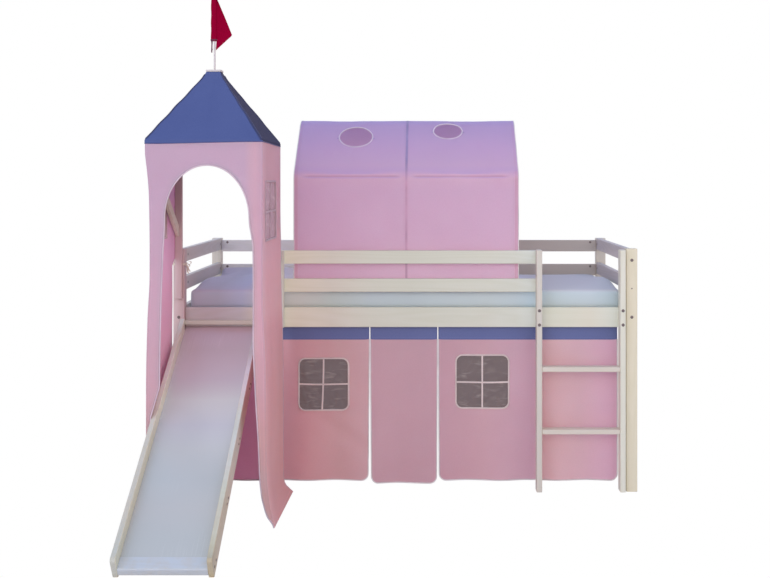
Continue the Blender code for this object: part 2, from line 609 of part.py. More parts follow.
def mattress_section(x_share, half_length):
    """Section of the mattress at a share of its half length, rounded at its long edges and ends."""
    height = MATTRESS_HEIGHT - MATTRESS_CROWN
    radius = MATTRESS_EDGE_RADIUS
    from_end = half_length * (1 - abs(x_share))
    end_drop = radius - sqrt(radius ** 2 - max(radius - from_end, 0) ** 2)
    waist = MATTRESS_DRAW_IN * (1 - x_share ** 4)
    half_width = BED_DEPTH / 2 - POST_SIDE - MATTRESS_CLEARANCE - waist - end_drop
    low_z = MATTRESS_FOOT_Z + end_drop
    high_z = MATTRESS_FOOT_Z + height - end_drop
    crown = MATTRESS_CROWN * (1 - x_share ** 2)
    corner = max(radius - end_drop, radius / 4)
    points = []
    for side, z_side, start in ((1, 1, 0), (-1, 1, 1), (-1, -1, 2), (1, -1, 3)):
        middle_y = side * (half_width - corner)
        middle_z = (high_z - corner) if z_side > 0 else (low_z + corner)
        for share in shares(CORNER_STEPS):
            angle = (start + share) * pi / 2
            points.append((middle_y + corner * cos(angle), middle_z + corner * sin(angle)))
        if start == 0:
            flat = [between(half_width - corner, corner - half_width, share)
                    for share in shares(MATTRESS_WIDTH_STEPS)[1:-1]]
            points += [(y, high_z) for y in flat]
    section = []
    for y, z in points:
        lift = crown * max(1 - (y / half_width) ** 2, 0) * (z - low_z) / (high_z - low_z)
        section.append((x_share * half_length, y, z + lift))
    return section


def build_mattress(cover):
    """Mattress with rounded edges, a low crown and sides that draw in a little."""
    half_length = INNER_RIGHT_X - MATTRESS_CLEARANCE
    radius = MATTRESS_EDGE_RADIUS
    ends = [1 - radius * (1 - cos(share * pi / 2)) / half_length for share in shares(CORNER_STEPS)]
    inner = [between(ends[-1], 0, share) for share in shares(MATTRESS_STATIONS // 2)[1:]]
    positive = ends + inner
    stations = [-share for share in positive] + positive[-2::-1]
    sections = [mattress_section(share, half_length) for share in stations]
    mattress = loft("mattress", sections, cover, (0, front(BACK / 2), 0))
    shade_round(mattress.data)


# Ladder
def build_ladder(wood):
    """Two stiles bolted to the front beam and two steps between them."""
    depth = (STILE_BACK, STILE_FRONT)
    height = (STILE_FOOT_Z, STILE_TOP_Z)
    board("ladder_stile_left", (LADDER_LEFT_X, LADDER_INNER_LEFT_X), depth, height, wood)
    board("ladder_stile_right", (LADDER_INNER_RIGHT_X, LADDER_RIGHT_X), depth, height, wood)
    step_front = STILE_FRONT - STEP_SETBACK
    step_depth = (step_front - STEP_DEPTH, step_front)
    step_width = (LADDER_INNER_LEFT_X + FIT, LADDER_INNER_RIGHT_X - FIT)
    for name, z in (("ladder_step_lower", STEP_LOW_Z), ("ladder_step_upper", STEP_HIGH_Z)):
        board(name, step_width, step_depth, (z, z + STEP_THICKNESS), wood)


# Slide
def on_slope(along, depth):
    """Reach and height of a point a length along the boards' upper edge and a depth square under it."""
    return (along * cos(SLIDE_ANGLE) - depth * sin(SLIDE_ANGLE),
            SLIDE_TOP_Z - along * sin(SLIDE_ANGLE) - depth * cos(SLIDE_ANGLE))


def at_reach(reach, depth):
    """Point under the boards' upper edge, at a depth square to it and at a given reach."""
    return on_slope((reach + depth * sin(SLIDE_ANGLE)) / cos(SLIDE_ANGLE), depth)


def slide_board_outline():
    """Side view of a slide board: upright top end, round nose and level foot."""
    nose = on_slope(SLIDE_LENGTH - SLIDE_NOSE_RADIUS, SLIDE_NOSE_RADIUS)
    first = pi / 2 - SLIDE_ANGLE
    last = -SLIDE_ANGLE
    outline = [at_reach(FIT, 0)]
    for start, end in ((first, 0), (0, last)):
        for share in shares(NOSE_STEPS)[1 if start == 0 else 0:]:
            angle = between(start, end, share)
            outline.append((nose[0] + SLIDE_NOSE_RADIUS * cos(angle),
                            nose[1] + SLIDE_NOSE_RADIUS * sin(angle)))
    outline += [(SLIDE_TOE, 0), (SLIDE_HEEL, 0), at_reach(FIT, SLIDE_BOARD_HEIGHT)]
    return outline


def build_slide(wood, panel_finish):
    """Side boards, panel, cross battens, end strip and top cleat."""
    outline = slide_board_outline()
    side_profile("slide_board_left", outline, (SLIDE_LEFT_X, SLIDE_INNER_LEFT_X), wood)
    side_profile("slide_board_right", outline, (SLIDE_INNER_RIGHT_X, SLIDE_RIGHT_X), wood)

    inside = (SLIDE_INNER_LEFT_X + FIT, SLIDE_INNER_RIGHT_X - FIT)
    strip_start = SLIDE_LENGTH - SLIDE_STRIP_LENGTH
    face = SLIDE_PANEL_DEPTH
    underside = SLIDE_PANEL_DEPTH + SLIDE_PANEL_THICKNESS
    panel_outline = [at_reach(RAIL_FRONT + FIT, face), on_slope(strip_start - FIT, face),
                     on_slope(strip_start - FIT, underside), at_reach(RAIL_FRONT + FIT, underside)]
    side_profile("slide_panel", panel_outline, inside, panel_finish, eased=False)

    batten_top = underside + FIT
    batten_foot = batten_top + SLIDE_BATTEN_THICKNESS
    for name, share in (("slide_batten_upper", SLIDE_BATTEN_UPPER_SHARE),
                        ("slide_batten_middle", SLIDE_BATTEN_MIDDLE_SHARE),
                        ("slide_batten_lower", SLIDE_BATTEN_LOWER_SHARE)):
        middle = SLIDE_LENGTH * share
        start = middle - SLIDE_BATTEN_WIDTH / 2
        end = middle + SLIDE_BATTEN_WIDTH / 2
        batten = [on_slope(start, batten_top), on_slope(end, batten_top),
                  on_slope(end, batten_foot), on_slope(start, batten_foot)]
        side_profile(name, batten, inside, wood)

    strip_foot = face + SLIDE_STRIP_THICKNESS
    strip = rounded([on_slope(strip_start, face), on_slope(SLIDE_LENGTH, face),
                     on_slope(SLIDE_LENGTH, strip_foot)], [SLIDE_STRIP_ROUND])
    strip.append(on_slope(strip_start, strip_foot))
    side_profile("slide_end_strip", strip, inside, wood, eased=False)

    board("slide_top_cleat", (INNER_LEFT_X + FIT, SLIDE_RIGHT_X), (RAIL_FRONT + FIT, 0),
          (SLIDE_CLEAT_TOP_Z - SLIDE_CLEAT_HEIGHT, SLIDE_CLEAT_TOP_Z), wood)


# Tower frame
def build_tower_frame(wood):
    """Uprights on the bed, braces, eave rails, rafters and the block that they meet at."""
    height = (TOWER_UPRIGHT_FOOT_Z, TIMBER_TOP_Z)
    behind = (FIT, UPRIGHT_FACE)
    left_upright = (TIMBER_LEFT_X, TIMBER_LEFT_X + TOWER_UPRIGHT_WIDTH)
    right_upright = (TIMBER_RIGHT_X - TOWER_UPRIGHT_WIDTH, TIMBER_RIGHT_X)
    board("tower_upright_left", left_upright, behind, height, wood)
    board("tower_upright_right", right_upright, behind, height, wood)

    rail_z = (TIMBER_RAIL_Z, TIMBER_TOP_Z)
    beside = (UPRIGHT_FACE + FIT, TIMBER_FRONT - TOWER_TIMBER - FIT)
    left_rail = (TIMBER_LEFT_X, TIMBER_LEFT_X + TOWER_TIMBER)
    right_rail = (TIMBER_RIGHT_X - TOWER_TIMBER, TIMBER_RIGHT_X)
    fore = (TIMBER_FRONT - TOWER_TIMBER, TIMBER_FRONT)
    board("tower_eave_front", (TIMBER_LEFT_X, TIMBER_RIGHT_X), fore, rail_z, wood)
    board("tower_eave_back", (left_upright[1] + FIT, right_upright[0] - FIT), behind, rail_z, wood)
    board("tower_eave_left", left_rail, beside, rail_z, wood)
    board("tower_eave_right", right_rail, beside, rail_z, wood)

    brace_setback = TOWER_TIMBER - BRACE_THICKNESS
    brace_start = UPRIGHT_FACE + FIT
    brace_top_z = TIMBER_RAIL_Z - FIT
    brace_end_z = brace_top_z - BRACE_END_HEIGHT
    brace_slope = (brace_end_z - BRACE_FOOT_Z) / (TIMBER_FRONT - brace_start)
    brace_top_start = brace_start + (brace_top_z - BRACE_FOOT_Z - BRACE_HEIGHT) / brace_slope
    brace = [(brace_start, BRACE_FOOT_Z), (TIMBER_FRONT, brace_end_z), (TIMBER_FRONT, brace_top_z),
             (brace_top_start, brace_top_z), (brace_start, BRACE_FOOT_Z + BRACE_HEIGHT)]
    side_profile("tower_brace_left", brace, (left_rail[0] + brace_setback, left_rail[1]), wood)
    side_profile("tower_brace_right", brace, (right_rail[0], right_rail[1] - brace_setback), wood)


def build_rafters(wood):
    """Four rafters from the corners of the eave to the corners of the top block."""
    ridge_z = TOWER_EAVE_Z + ROOF_HEM
    for row, eave_reach, side_y in (("front", TOWER_DEPTH, -1), ("back", 0, 1)):
        for side, eave_x, side_x in (("left", TOWER_LEFT_X, -1), ("right", TOWER_RIGHT_X, 1)):
            eave = Vector((eave_x, front(eave_reach)))
            middle = Vector((TOP_X, front(TOP_REACH)))
            outwards = Vector((side_x, side_y))
            collar = middle + outwards * COLLAR_FOOT_HALF
            block = middle + outwards * TOP_BLOCK_SIDE / 2
            slope = (COLLAR_FOOT_Z - ridge_z) / (collar - eave).length
            run = block - eave
            end = run.length - FIT - RAFTER_WIDTH / 2
            top_start_z = ridge_z + RAFTER_START * slope - RAFTER_ROOM
            top_end_z = ridge_z + end * slope - RAFTER_ROOM
            seat_z = TIMBER_TOP_Z + FIT
            seat_end = (seat_z + RAFTER_HEIGHT + RAFTER_ROOM - ridge_z) / slope
            outline = [(RAFTER_START, seat_z), (seat_end, seat_z), (end, top_end_z - RAFTER_HEIGHT),
                       (end, top_end_z), (RAFTER_START, max(top_start_z, seat_z + EASED_EDGE * 2))]
            turned_profile(f"tower_rafter_{row}_{side}", outline, RAFTER_WIDTH, eave, run.normalized(), wood,
                           eased=False)


def build_top_plate(wood):
    """Square block under a light plate, bored for the flag pole."""
    middle_y = front(TOP_REACH)
    sections = []
    for half, z in ((TOP_BLOCK_SIDE / 2, TOP_BLOCK_FOOT_Z), (TOP_BLOCK_SIDE / 2, TOP_PLATE_FOOT_Z),
                    (TOP_PLATE_SIDE / 2, TOP_PLATE_FOOT_Z), (TOP_PLATE_SIDE / 2, TOP_PLATE_Z)):
        sections.append([(half, half, z), (-half, half, z), (-half, -half, z), (half, -half, z)])
    plate = loft("tower_top_plate", sections, wood, (TOP_X, middle_y, 0))
    bore = cylinder("pole_bore", POLE_RADIUS + FIT, (TOP_X, middle_y, TOP_PLATE_Z - POLE_SOCKET_DEPTH),
                    (TOP_X, middle_y, TOP_PLATE_Z + CUT_OVERRUN), wood)
    boolean(plate, bore, "DIFFERENCE")


# Flag
def build_flag(pole_finish, crimson):
    """Pole in the top plate, and a drooping pennant whose sleeve turns on it."""
    middle_y = front(TOP_REACH)
    cylinder("flag_pole", POLE_RADIUS, (TOP_X, middle_y, TOP_PLATE_Z - POLE_SOCKET_DEPTH + FIT),
             (TOP_X, middle_y, POLE_TOP_Z), pole_finish)

    inner = POLE_RADIUS + FLAG_SLEEVE_CLEARANCE
    outer = inner + FLAG_THICKNESS
    rows = []
    for share in shares(FLAG_ROWS):
        hoist_z = between(FLAG_TOP_Z, FLAG_SLEEVE_FOOT_Z, share)
        if share <= FLAG_TIP_SHARE:
            fly = share / FLAG_TIP_SHARE
            reach = between(FLAG_PEAK_WIDTH, FLAG_TIP_REACH, fly)
            edge_z = between(FLAG_TOP_Z, FLAG_TIP_Z, fly)
        else:
            fly = (share - FLAG_TIP_SHARE) / (1 - FLAG_TIP_SHARE)
            reach = between(FLAG_TIP_REACH, FLAG_DROOP_REACH, fly)
            edge_z = between(FLAG_TIP_Z, FLAG_DROOP_Z, fly)
        row = []
        for column in shares(FLAG_COLUMNS):
            x = between((inner + outer) / 2, outer + reach, column)
            wave = FLAG_WAVE * sin(column * pi) * sin(share * pi)
            row.append((TOP_X + x, middle_y + wave, between(hoist_z, edge_z, column)))
        rows.append(row)
    flag = cloth_sheet("flag", rows, crimson, FLAG_THICKNESS, (TOP_X, middle_y, FLAG_SLEEVE_FOOT_Z))

    bm = bmesh.new()
    rings = []
    for radius, z in ((inner, FLAG_SLEEVE_FOOT_Z), (outer, FLAG_SLEEVE_FOOT_Z),
                      (outer, FLAG_TOP_Z), (inner, FLAG_TOP_Z)):
        rings.append([bm.verts.new((radius * cos(share * 2 * pi), radius * sin(share * 2 * pi), z))
                      for share in shares(ROUND_SIDES)[:-1]])
    for ring, following in zip(rings, rings[1:] + rings[:1]):
        for index in range(ROUND_SIDES):
            after = (index + 1) % ROUND_SIDES
            bm.faces.new((ring[index], ring[after], following[after], following[index]))
    sleeve = place("flag_sleeve", finished_mesh("flag_sleeve", bm), crimson, (TOP_X, middle_y, 0))
    boolean(flag, sleeve, "UNION")


# Tower cloth
def left_outer_x(z):
    """Left edge of the front cloth."""
    return TOWER_LEFT_X + along(LEFT_CORNER_INSETS, z / TOWER_EAVE_Z)


def right_outer_x(z):
    """Right edge of the front cloth."""
    return TOWER_RIGHT_X + along(RIGHT_CORNER_SPREADS, z / TOWER_EAVE_Z)


def left_inner_x(z):
    """Piped inner edge of the left front strip, narrow beside the slide board and rounded off at the foot."""
    above = min(max((z - DRAPE_NARROW_Z) / DRAPE_WIDENING, 0), 1)
    edge_x = TOWER_LEFT_X + between(DRAPE_LEFT_NARROW, along(LEFT_STRIP_EDGES, z / TOWER_EAVE_Z), above)
    rise = min((z - DRAPE_FOOT_Z) / DRAPE_CORNER_RISE, 1)
    width = between(DRAPE_TIP_WIDTH, edge_x - left_outer_x(z), sqrt(max(1 - (1 - rise) ** 2, 0)))
    return left_outer_x(z) + width


def right_inner_x(z):
    """Piped inner edge of the right front strip."""
    return TOWER_RIGHT_X + along(RIGHT_STRIP_EDGES, z / TOWER_EAVE_Z)


def build_front_cloth(pink):
    """Front of the tower: one cloth with an arch whose two strips hang to the floor."""
    plane_y = front(TOWER_DEPTH - CLOTH / 2)
    edges = []
    for share in shares(LEG_STEPS)[:-1]:
        z = between(DRAPE_FOOT_Z, ARCH_SPRING_Z, share ** 1.5)
        edges.append(((left_inner_x(z), z), (left_outer_x(z), z)))
    arch_steps = ARCH_SIDE_STEPS * 4
    for step in range(arch_steps + 1):
        angle = pi * (1 - step / arch_steps)
        inner = (ARCH_X + ARCH_HALF_WIDTH * cos(angle), ARCH_SPRING_Z + ARCH_RISE * sin(angle))
        if step <= ARCH_SIDE_STEPS:
            z = between(ARCH_SPRING_Z, CLOTH_TOP_Z, step / ARCH_SIDE_STEPS)
            outer = (left_outer_x(z), z)
        elif step < ARCH_SIDE_STEPS * 3:
            across = (step - ARCH_SIDE_STEPS) / (ARCH_SIDE_STEPS * 2)
            outer = (between(TOWER_LEFT_X, TOWER_RIGHT_X, across), CLOTH_TOP_Z)
        else:
            z = between(CLOTH_TOP_Z, ARCH_SPRING_Z, step / ARCH_SIDE_STEPS - 3)
            outer = (right_outer_x(z), z)
        edges.append((inner, outer))
    for share in shares(LEG_STEPS)[-2::-1]:
        z = between(DRAPE_FOOT_Z, ARCH_SPRING_Z, share ** 1.5)
        edges.append(((right_inner_x(z), z), (right_outer_x(z), z)))
    rows = [[(between(inner[0], outer[0], column), plane_y, between(inner[1], outer[1], column))
             for column in shares(STRIP_COLUMNS)] for inner, outer in edges]
    cloth_sheet("tower_front_cloth", rows, pink)


def build_wall_cloth(name, outer_x, rear_spreads, outwards, release, ease, pink):
    """Side wall of the tower: held by the upright above, hanging free in soft folds below."""
    front_edge = TOWER_DEPTH - CLOTH - FIT
    plain_x = outer_x(TOWER_EAVE_Z) - outwards * CLOTH / 2
    heights = [between(DRAPE_FOOT_Z, WALL_PLAIN_Z, share ** 1.5) for share in shares(WALL_ROWS)]
    rows = []
    for z in heights + [CLOTH_TOP_Z]:
        rear_edge = between(release, FIT + CLOTH / 2, smooth_step(z, DRAPE_FREE_Z, DRAPE_HELD_Z))
        rear_x = plain_x + outwards * along(rear_spreads, z / TOWER_EAVE_Z)
        corner_x = outer_x(z) - outwards * CLOTH / 2
        free = min(z / DRAPE_FREE_Z, 1)
        row = []
        for column_share in shares(WALL_COLUMNS):
            reach = between(rear_edge, front_edge, column_share)
            fold = sin(2 * pi * reach / WALL_FOLD_PITCH) * sin(pi * column_share) * sin(pi * free)
            x = between(rear_x, corner_x, (reach / TOWER_DEPTH) ** ease)
            row.append((x + outwards * WALL_FOLD * fold, front(reach), z))
        rows.append(row)
    cloth_sheet(name, rows, pink)


def build_roof_cover(blue):
    """Pyramid of cloth with an upright hem, faces that sag a little and a steep collar at the block."""
    eave = (TOWER_LEFT_X, TOWER_RIGHT_X, 0, TOWER_DEPTH)
    foot = (TOP_X - COLLAR_FOOT_HALF, TOP_X + COLLAR_FOOT_HALF,
            TOP_REACH - COLLAR_FOOT_HALF, TOP_REACH + COLLAR_FOOT_HALF)
    top = (TOP_X - COLLAR_TOP_HALF, TOP_X + COLLAR_TOP_HALF,
           TOP_REACH - COLLAR_TOP_HALF, TOP_REACH + COLLAR_TOP_HALF)
    ridge_z = TOWER_EAVE_Z + ROOF_HEM
    rings = [(eave, TOWER_EAVE_Z, 0)]
    for share in shares(ROOF_ROWS):
        outline = [between(low, high, share) for low, high in zip(eave, foot)]
        rings.append((outline, between(ridge_z, COLLAR_FOOT_Z, share), sin(pi * share)))
    rings.append((top, TOP_PLATE_FOOT_Z - COLLAR_ROOM, 0))
    rows = []
    for (left, right, rear, fore), z, sag_share in rings:
        corners = [(left, rear), (right, rear), (right, fore), (left, fore)]
        row = []
        for start, end in zip(corners, corners[1:] + corners[:1]):
            for share in shares(ROOF_SIDE_STEPS)[:-1]:
                dip = ROOF_SAG * sag_share * sin(pi * share)
                reach = between(start[1], end[1], share)
                row.append((between(start[0], end[0], share), front(reach), z - dip))
        rows.append(row)
    cloth_sheet("tower_roof_cover", rows, blue, closed=True)


# Tunnel
def tunnel_profile(inset=0):
    """House-shaped profile of the tunnel from its front hem to its back hem, as (y, z) about its middle."""
    half = TUNNEL_HALF_DEPTH - inset
    shoulder_z = TUNNEL_SHOULDER_Z - inset * tan(TUNNEL_SLOPE_ANGLE / 2)
    slope_half = TUNNEL_SLOPE_HALF - inset * tan(TUNNEL_SLOPE_ANGLE / 2)
    slope_z = TUNNEL_SLOPE_END_Z - inset
    top_z = TUNNEL_TOP_Z - inset
    outline = [(-half, TUNNEL_HEM_Z), (-half, shoulder_z), (-slope_half, slope_z), (0, top_z),
               (slope_half, slope_z), (half, shoulder_z), (half, TUNNEL_HEM_Z)]
    radii = [TUNNEL_SHOULDER_RADIUS - inset, TUNNEL_TOP_RADIUS - inset, 0, TUNNEL_TOP_RADIUS - inset,
             TUNNEL_SHOULDER_RADIUS - inset]
    return rounded(outline, radii)


def build_tunnel_cover(pink):
    """Cover of the tunnel, a little slack between its hoops, with two round windows in the front slope."""
    profile = tunnel_profile(TUNNEL_SHELL / 2)
    middle_y = front(BACK / 2)
    rows = []
    for share in shares(TUNNEL_STATIONS - 1):
        x = between(-TUNNEL_LENGTH / 2, TUNNEL_LENGTH / 2, share)
        slack = TUNNEL_SAG * sin(2 * pi * share) ** 2
        rows.append([(x, middle_y + y, z - slack * smooth_step(z, TUNNEL_SHOULDER_Z, TUNNEL_TOP_Z))
                     for y, z in profile])
    cover = cloth_sheet("tunnel_cover", rows, pink, TUNNEL_SHELL)
    normal = Vector((0, -sin(TUNNEL_SLOPE_ANGLE), cos(TUNNEL_SLOPE_ANGLE)))
    for name, x, run, radius in (("left_hole", LEFT_HOLE_X, LEFT_HOLE_RUN, LEFT_HOLE_RADIUS),
                                 ("right_hole", RIGHT_HOLE_X, RIGHT_HOLE_RUN, RIGHT_HOLE_RADIUS)):
        wall_y = middle_y - TUNNEL_HALF_DEPTH
        middle = Vector((x, wall_y + run, TUNNEL_SHOULDER_Z + run * tan(TUNNEL_SLOPE_ANGLE)))
        reach = normal * CUT_OVERRUN * 2
        boolean(cover, cylinder(name, radius, middle - reach, middle + reach, pink, HOLE_SIDES), "DIFFERENCE")


def build_hoops(rod_finish):
    """Three bent rods inside the cover."""
    radius = HOOP_DIAMETER / 2
    profile = tunnel_profile(TUNNEL_SHELL + HOOP_ROOM + radius)
    middle_y = front(BACK / 2)
    end_x = TUNNEL_LENGTH / 2 - HOOP_END_INSET
    for name, x in (("tunnel_hoop_left", -end_x), ("tunnel_hoop_middle", 0), ("tunnel_hoop_right", end_x)):
        curve = bpy.data.curves.new(name, "CURVE")
        curve.dimensions = "3D"
        curve.bevel_depth = radius
        curve.bevel_resolution = 1
        curve.use_fill_caps = True
        spline = curve.splines.new("POLY")
        spline.points.add(len(profile) - 1)
        for point, (y, z) in zip(spline.points, profile):
            point.co = (0, y, z, 1)
        place(name, curve, rod_finish, (x, middle_y, 0))


# Curtain
def build_curtain_panel(name, left_x, right_x, foot_z, draw_left, draw_right, pink):
    """Panel that hangs from its top edge; its origin is on that edge, about which it swings."""
    width = right_x - left_x
    columns = ceil(width / CURTAIN_FOLD_PITCH) * FOLD_STEPS
    inner = [between(CURTAIN_CORNER, width - CURTAIN_CORNER, share) for share in shares(columns)]
    corner = [CURTAIN_CORNER * (1 - cos(share * pi / 2)) for share in shares(CORNER_STEPS)[:-1]]
    across = corner + inner + [width - distance for distance in reversed(corner)]
    plane_y = front(CURTAIN_PLANE)
    rows = []
    for row_share in shares(CURTAIN_ROWS):
        row = []
        for distance in across:
            from_side = min(distance, width - distance)
            lack = max(CURTAIN_CORNER - from_side, 0)
            column_foot = foot_z + CURTAIN_CORNER - sqrt(CURTAIN_CORNER ** 2 - lack ** 2)
            z = between(CURTAIN_TOP_Z, column_foot, row_share)
            drawn = between(draw_left, -draw_right, distance / width) * row_share
            fold = CURTAIN_FOLD * row_share * (1 - cos(2 * pi * distance / CURTAIN_FOLD_PITCH)) / 2
            row.append((left_x + distance + drawn, plane_y + fold, z))
        rows.append(row)
    panel = cloth_sheet(name, rows, pink, CURTAIN_THICKNESS, ((left_x + right_x) / 2, plane_y, CURTAIN_TOP_Z))
    group = panel.vertex_groups.new(name="below the top edge")
    group.add(list(range(len(across), len(panel.data.vertices))), 1, "REPLACE")
    panel.modifiers["thickness"].vertex_group = group.name
    panel.modifiers["thickness"].thickness_vertex_group = CURTAIN_EDGE_SHARE


def build_curtain(pink, tape_finish):
    """Hook tape behind the front beam and the three panels that hang from it."""
    left_x = LEFT_X + CURTAIN_LEFT_END
    right_x = RIGHT_X - CURTAIN_RIGHT_END
    tape_z = BEAM_BOTTOM_Z + TAPE_RAISE
    board("curtain_tape", (left_x, right_x), (INNER_FRONT - FIT - CURTAIN_THICKNESS, INNER_FRONT - FIT),
          (tape_z, tape_z + TAPE_HEIGHT), tape_finish, eased=False)
    door_left = CURTAIN_DOOR_OFFSET - CURTAIN_DOOR_WIDTH / 2
    door_right = CURTAIN_DOOR_OFFSET + CURTAIN_DOOR_WIDTH / 2
    build_curtain_panel("curtain_left", left_x, door_left - CURTAIN_GAP,
                        CURTAIN_SIDE_FOOT_Z, 0, CURTAIN_DRAW_IN, pink)
    build_curtain_panel("curtain_door", door_left, door_right,
                        CURTAIN_DOOR_FOOT_Z, CURTAIN_DRAW_IN, CURTAIN_DRAW_IN, pink)
    build_curtain_panel("curtain_right", door_right + CURTAIN_GAP, right_x,
                        CURTAIN_SIDE_FOOT_Z, CURTAIN_DRAW_IN, 0, pink)


def clear_scene():
    """Remove the objects that the file holds at its start."""
    for obj in list(bpy.data.objects):
        bpy.data.objects.remove(obj, do_unlink=True)


def build():
    """Make the whole bed."""
    clear_scene()
    wood = finish("white painted pine", 212, 206, 194, 0.45)
    raw_wood = finish("plain pine", 205, 180, 140, 0.6)
    panel_finish = finish("slide panel", 184, 187, 198, 0.25)
    mattress_cover = finish("mattress cover", 184, 194, 206, 0.8)
    pink = finish("pink cotton", 201, 160, 182, 0.85)
    blue = finish("blue cotton", 92, 98, 152, 0.85)
    crimson = finish("crimson cotton", 142, 0, 50, 0.8)
    rod_finish = finish("hoop rod", 225, 225, 225, 0.4)
    tape_finish = finish("hook tape", 120, 118, 150, 0.9)

    build_posts(wood)
    build_long_rails(wood)
    build_end_rails(wood)
    build_base(wood, raw_wood)
    build_mattress(mattress_cover)
    build_ladder(wood)
    build_slide(wood, panel_finish)
    build_tower_frame(wood)
    build_rafters(wood)
    build_top_plate(wood)
    build_flag(wood, crimson)
    build_front_cloth(pink)
    build_wall_cloth("tower_left_cloth", left_outer_x, LEFT_REAR_SPREADS, -1, DRAPE_LEFT_RELEASE,
                     WALL_LEFT_EASE, pink)
    build_wall_cloth("tower_right_cloth", right_outer_x, RIGHT_REAR_SPREADS, 1, DRAPE_RIGHT_RELEASE,
                     WALL_RIGHT_EASE, pink)
    build_roof_cover(blue)
    build_tunnel_cover(pink)
    build_hoops(rod_finish)
    build_curtain(pink, tape_finish)


build()
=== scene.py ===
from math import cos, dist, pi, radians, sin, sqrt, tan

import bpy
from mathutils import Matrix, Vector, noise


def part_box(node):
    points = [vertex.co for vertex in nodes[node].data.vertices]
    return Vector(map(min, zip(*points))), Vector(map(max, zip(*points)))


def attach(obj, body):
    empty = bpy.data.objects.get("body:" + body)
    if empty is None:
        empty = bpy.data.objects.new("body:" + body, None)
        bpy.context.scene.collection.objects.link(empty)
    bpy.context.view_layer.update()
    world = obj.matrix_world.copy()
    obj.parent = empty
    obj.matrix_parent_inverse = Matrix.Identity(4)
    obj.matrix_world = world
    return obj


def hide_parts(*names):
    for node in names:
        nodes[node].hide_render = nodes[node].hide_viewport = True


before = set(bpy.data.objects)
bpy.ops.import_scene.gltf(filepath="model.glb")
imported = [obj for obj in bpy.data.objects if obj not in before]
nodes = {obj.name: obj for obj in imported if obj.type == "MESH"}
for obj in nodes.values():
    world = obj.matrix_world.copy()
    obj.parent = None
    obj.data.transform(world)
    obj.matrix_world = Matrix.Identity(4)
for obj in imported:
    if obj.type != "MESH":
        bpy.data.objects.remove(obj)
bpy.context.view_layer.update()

# Loft bed with a slide, dressed in its paint, cotton, film and fasteners. Lengths are in metres.
# X runs along the bed, Y to the back and Z up. A reach is measured forwards from the front posts' faces.

FRONT_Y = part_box("post_front_left")[0].y
BED_DEPTH = 1.0
MIDDLE_Y = FRONT_Y + BED_DEPTH / 2
TOWER_LEFT = -1.041
TOWER_RIGHT = -0.566
SLIDE_SLOPE = radians(30.9)
RIGHT, BACK, UP = Vector((1, 0, 0)), Vector((0, 1, 0)), Vector((0, 0, 1))


def front(reach):
    """Y of a plane that stands a reach in front of the corner posts."""
    return FRONT_Y - reach


def between(start, end, share):
    """The value a share of the way from start to end."""
    return start + (end - start) * share


def mixed(start, end, share):
    """The pair of values a share of the way from one pair to another."""
    return between(start[0], end[0], share), between(start[1], end[1], share)


def traced(steps, point):
    """What point gives at even shares from 0 to 1, both included."""
    return [point(step / steps) for step in range(steps + 1)]


def smooth_step(value, low, high):
    """0 below low, 1 above high and a smooth rise between them."""
    share = min(max((value - low) / (high - low), 0), 1)
    return share * share * (3 - 2 * share)


def bump_at(value, middle, width):
    """1 at the middle and 0 from a width away."""
    return 1 - smooth_step(abs(value - middle), 0, width)


def ripple(x, y, z=0.0):
    """Soft random wave between -1 and 1."""
    return noise.noise(Vector((x, y, z)))


# Shader nodes

def display(red, green, blue):
    """Linear colour of a display colour of 0 to 255."""
    channels = [value / 255 for value in (red, green, blue)]
    linear = [value / 12.92 if value <= 0.04045 else ((value + 0.055) / 1.055) ** 2.4 for value in channels]
    return (*linear, 1.0)


def feed(tree, socket, value):
    """Link a socket to another one, or set it to a number, a vector or a colour."""
    if isinstance(value, bpy.types.NodeSocket):
        tree.links.new(value, socket)
    else:
        socket.default_value = value


def add_node(tree, kind, values=(), **settings):
    """New node with its settings; values gives what goes into its sockets."""
    node = tree.nodes.new("ShaderNode" + kind)
    for name, setting in settings.items():
        setattr(node, name, setting)
    for socket, value in dict(values).items():
        feed(tree, node.inputs[socket], value)
    return node


def math_node(tree, operation, *values):
    """Result of a sum between sockets and numbers."""
    return add_node(tree, "Math", enumerate(values), operation=operation).outputs[0]


def apart(tree, first, second):
    """Distance between two values."""
    return math_node(tree, "ABSOLUTE", math_node(tree, "SUBTRACT", first, second))


def range_node(tree, value, low, high, to_low=0.0, to_high=1.0):
    """Clamped change of range."""
    return add_node(tree, "MapRange", {"Value": value, "From Min": low, "From Max": high,
                                       "To Min": to_low, "To Max": to_high}).outputs["Result"]


def object_place(tree):
    """Place on the piece, in metres."""
    return add_node(tree, "TexCoord").outputs["Object"]


def uv_map(tree, name):
    """Place on a cloth's own map."""
    return add_node(tree, "UVMap", uv_map=name).outputs[0]


def parts_of(tree, vector):
    """The three parts of a vector."""
    return add_node(tree, "SeparateXYZ", {0: vector}).outputs


def scaled(tree, vector, factors):
    """Vector whose three parts are multiplied."""
    return add_node(tree, "VectorMath", {0: vector, 1: factors}, operation="MULTIPLY").outputs[0]


def turned(tree, vector, rotation):
    """Vector turned about the three axes."""
    return add_node(tree, "Mapping", {"Vector": vector, "Rotation": rotation}).outputs[0]


def noise_node(tree, vector, scale, detail=2.0, roughness=0.5, distortion=0.0):
    """Noise texture's value."""
    return add_node(tree, "TexNoise", {"Vector": vector, "Scale": scale, "Detail": detail,
                                       "Roughness": roughness, "Distortion": distortion}).outputs["Fac"]


def wave_node(tree, vector, scale, direction, distortion=0.0):
    """Band wave's value."""
    values = {"Vector": vector, "Scale": scale, "Distortion": distortion, "Detail": 0.0}
    return add_node(tree, "TexWave", values, bands_direction=direction).outputs["Fac"]


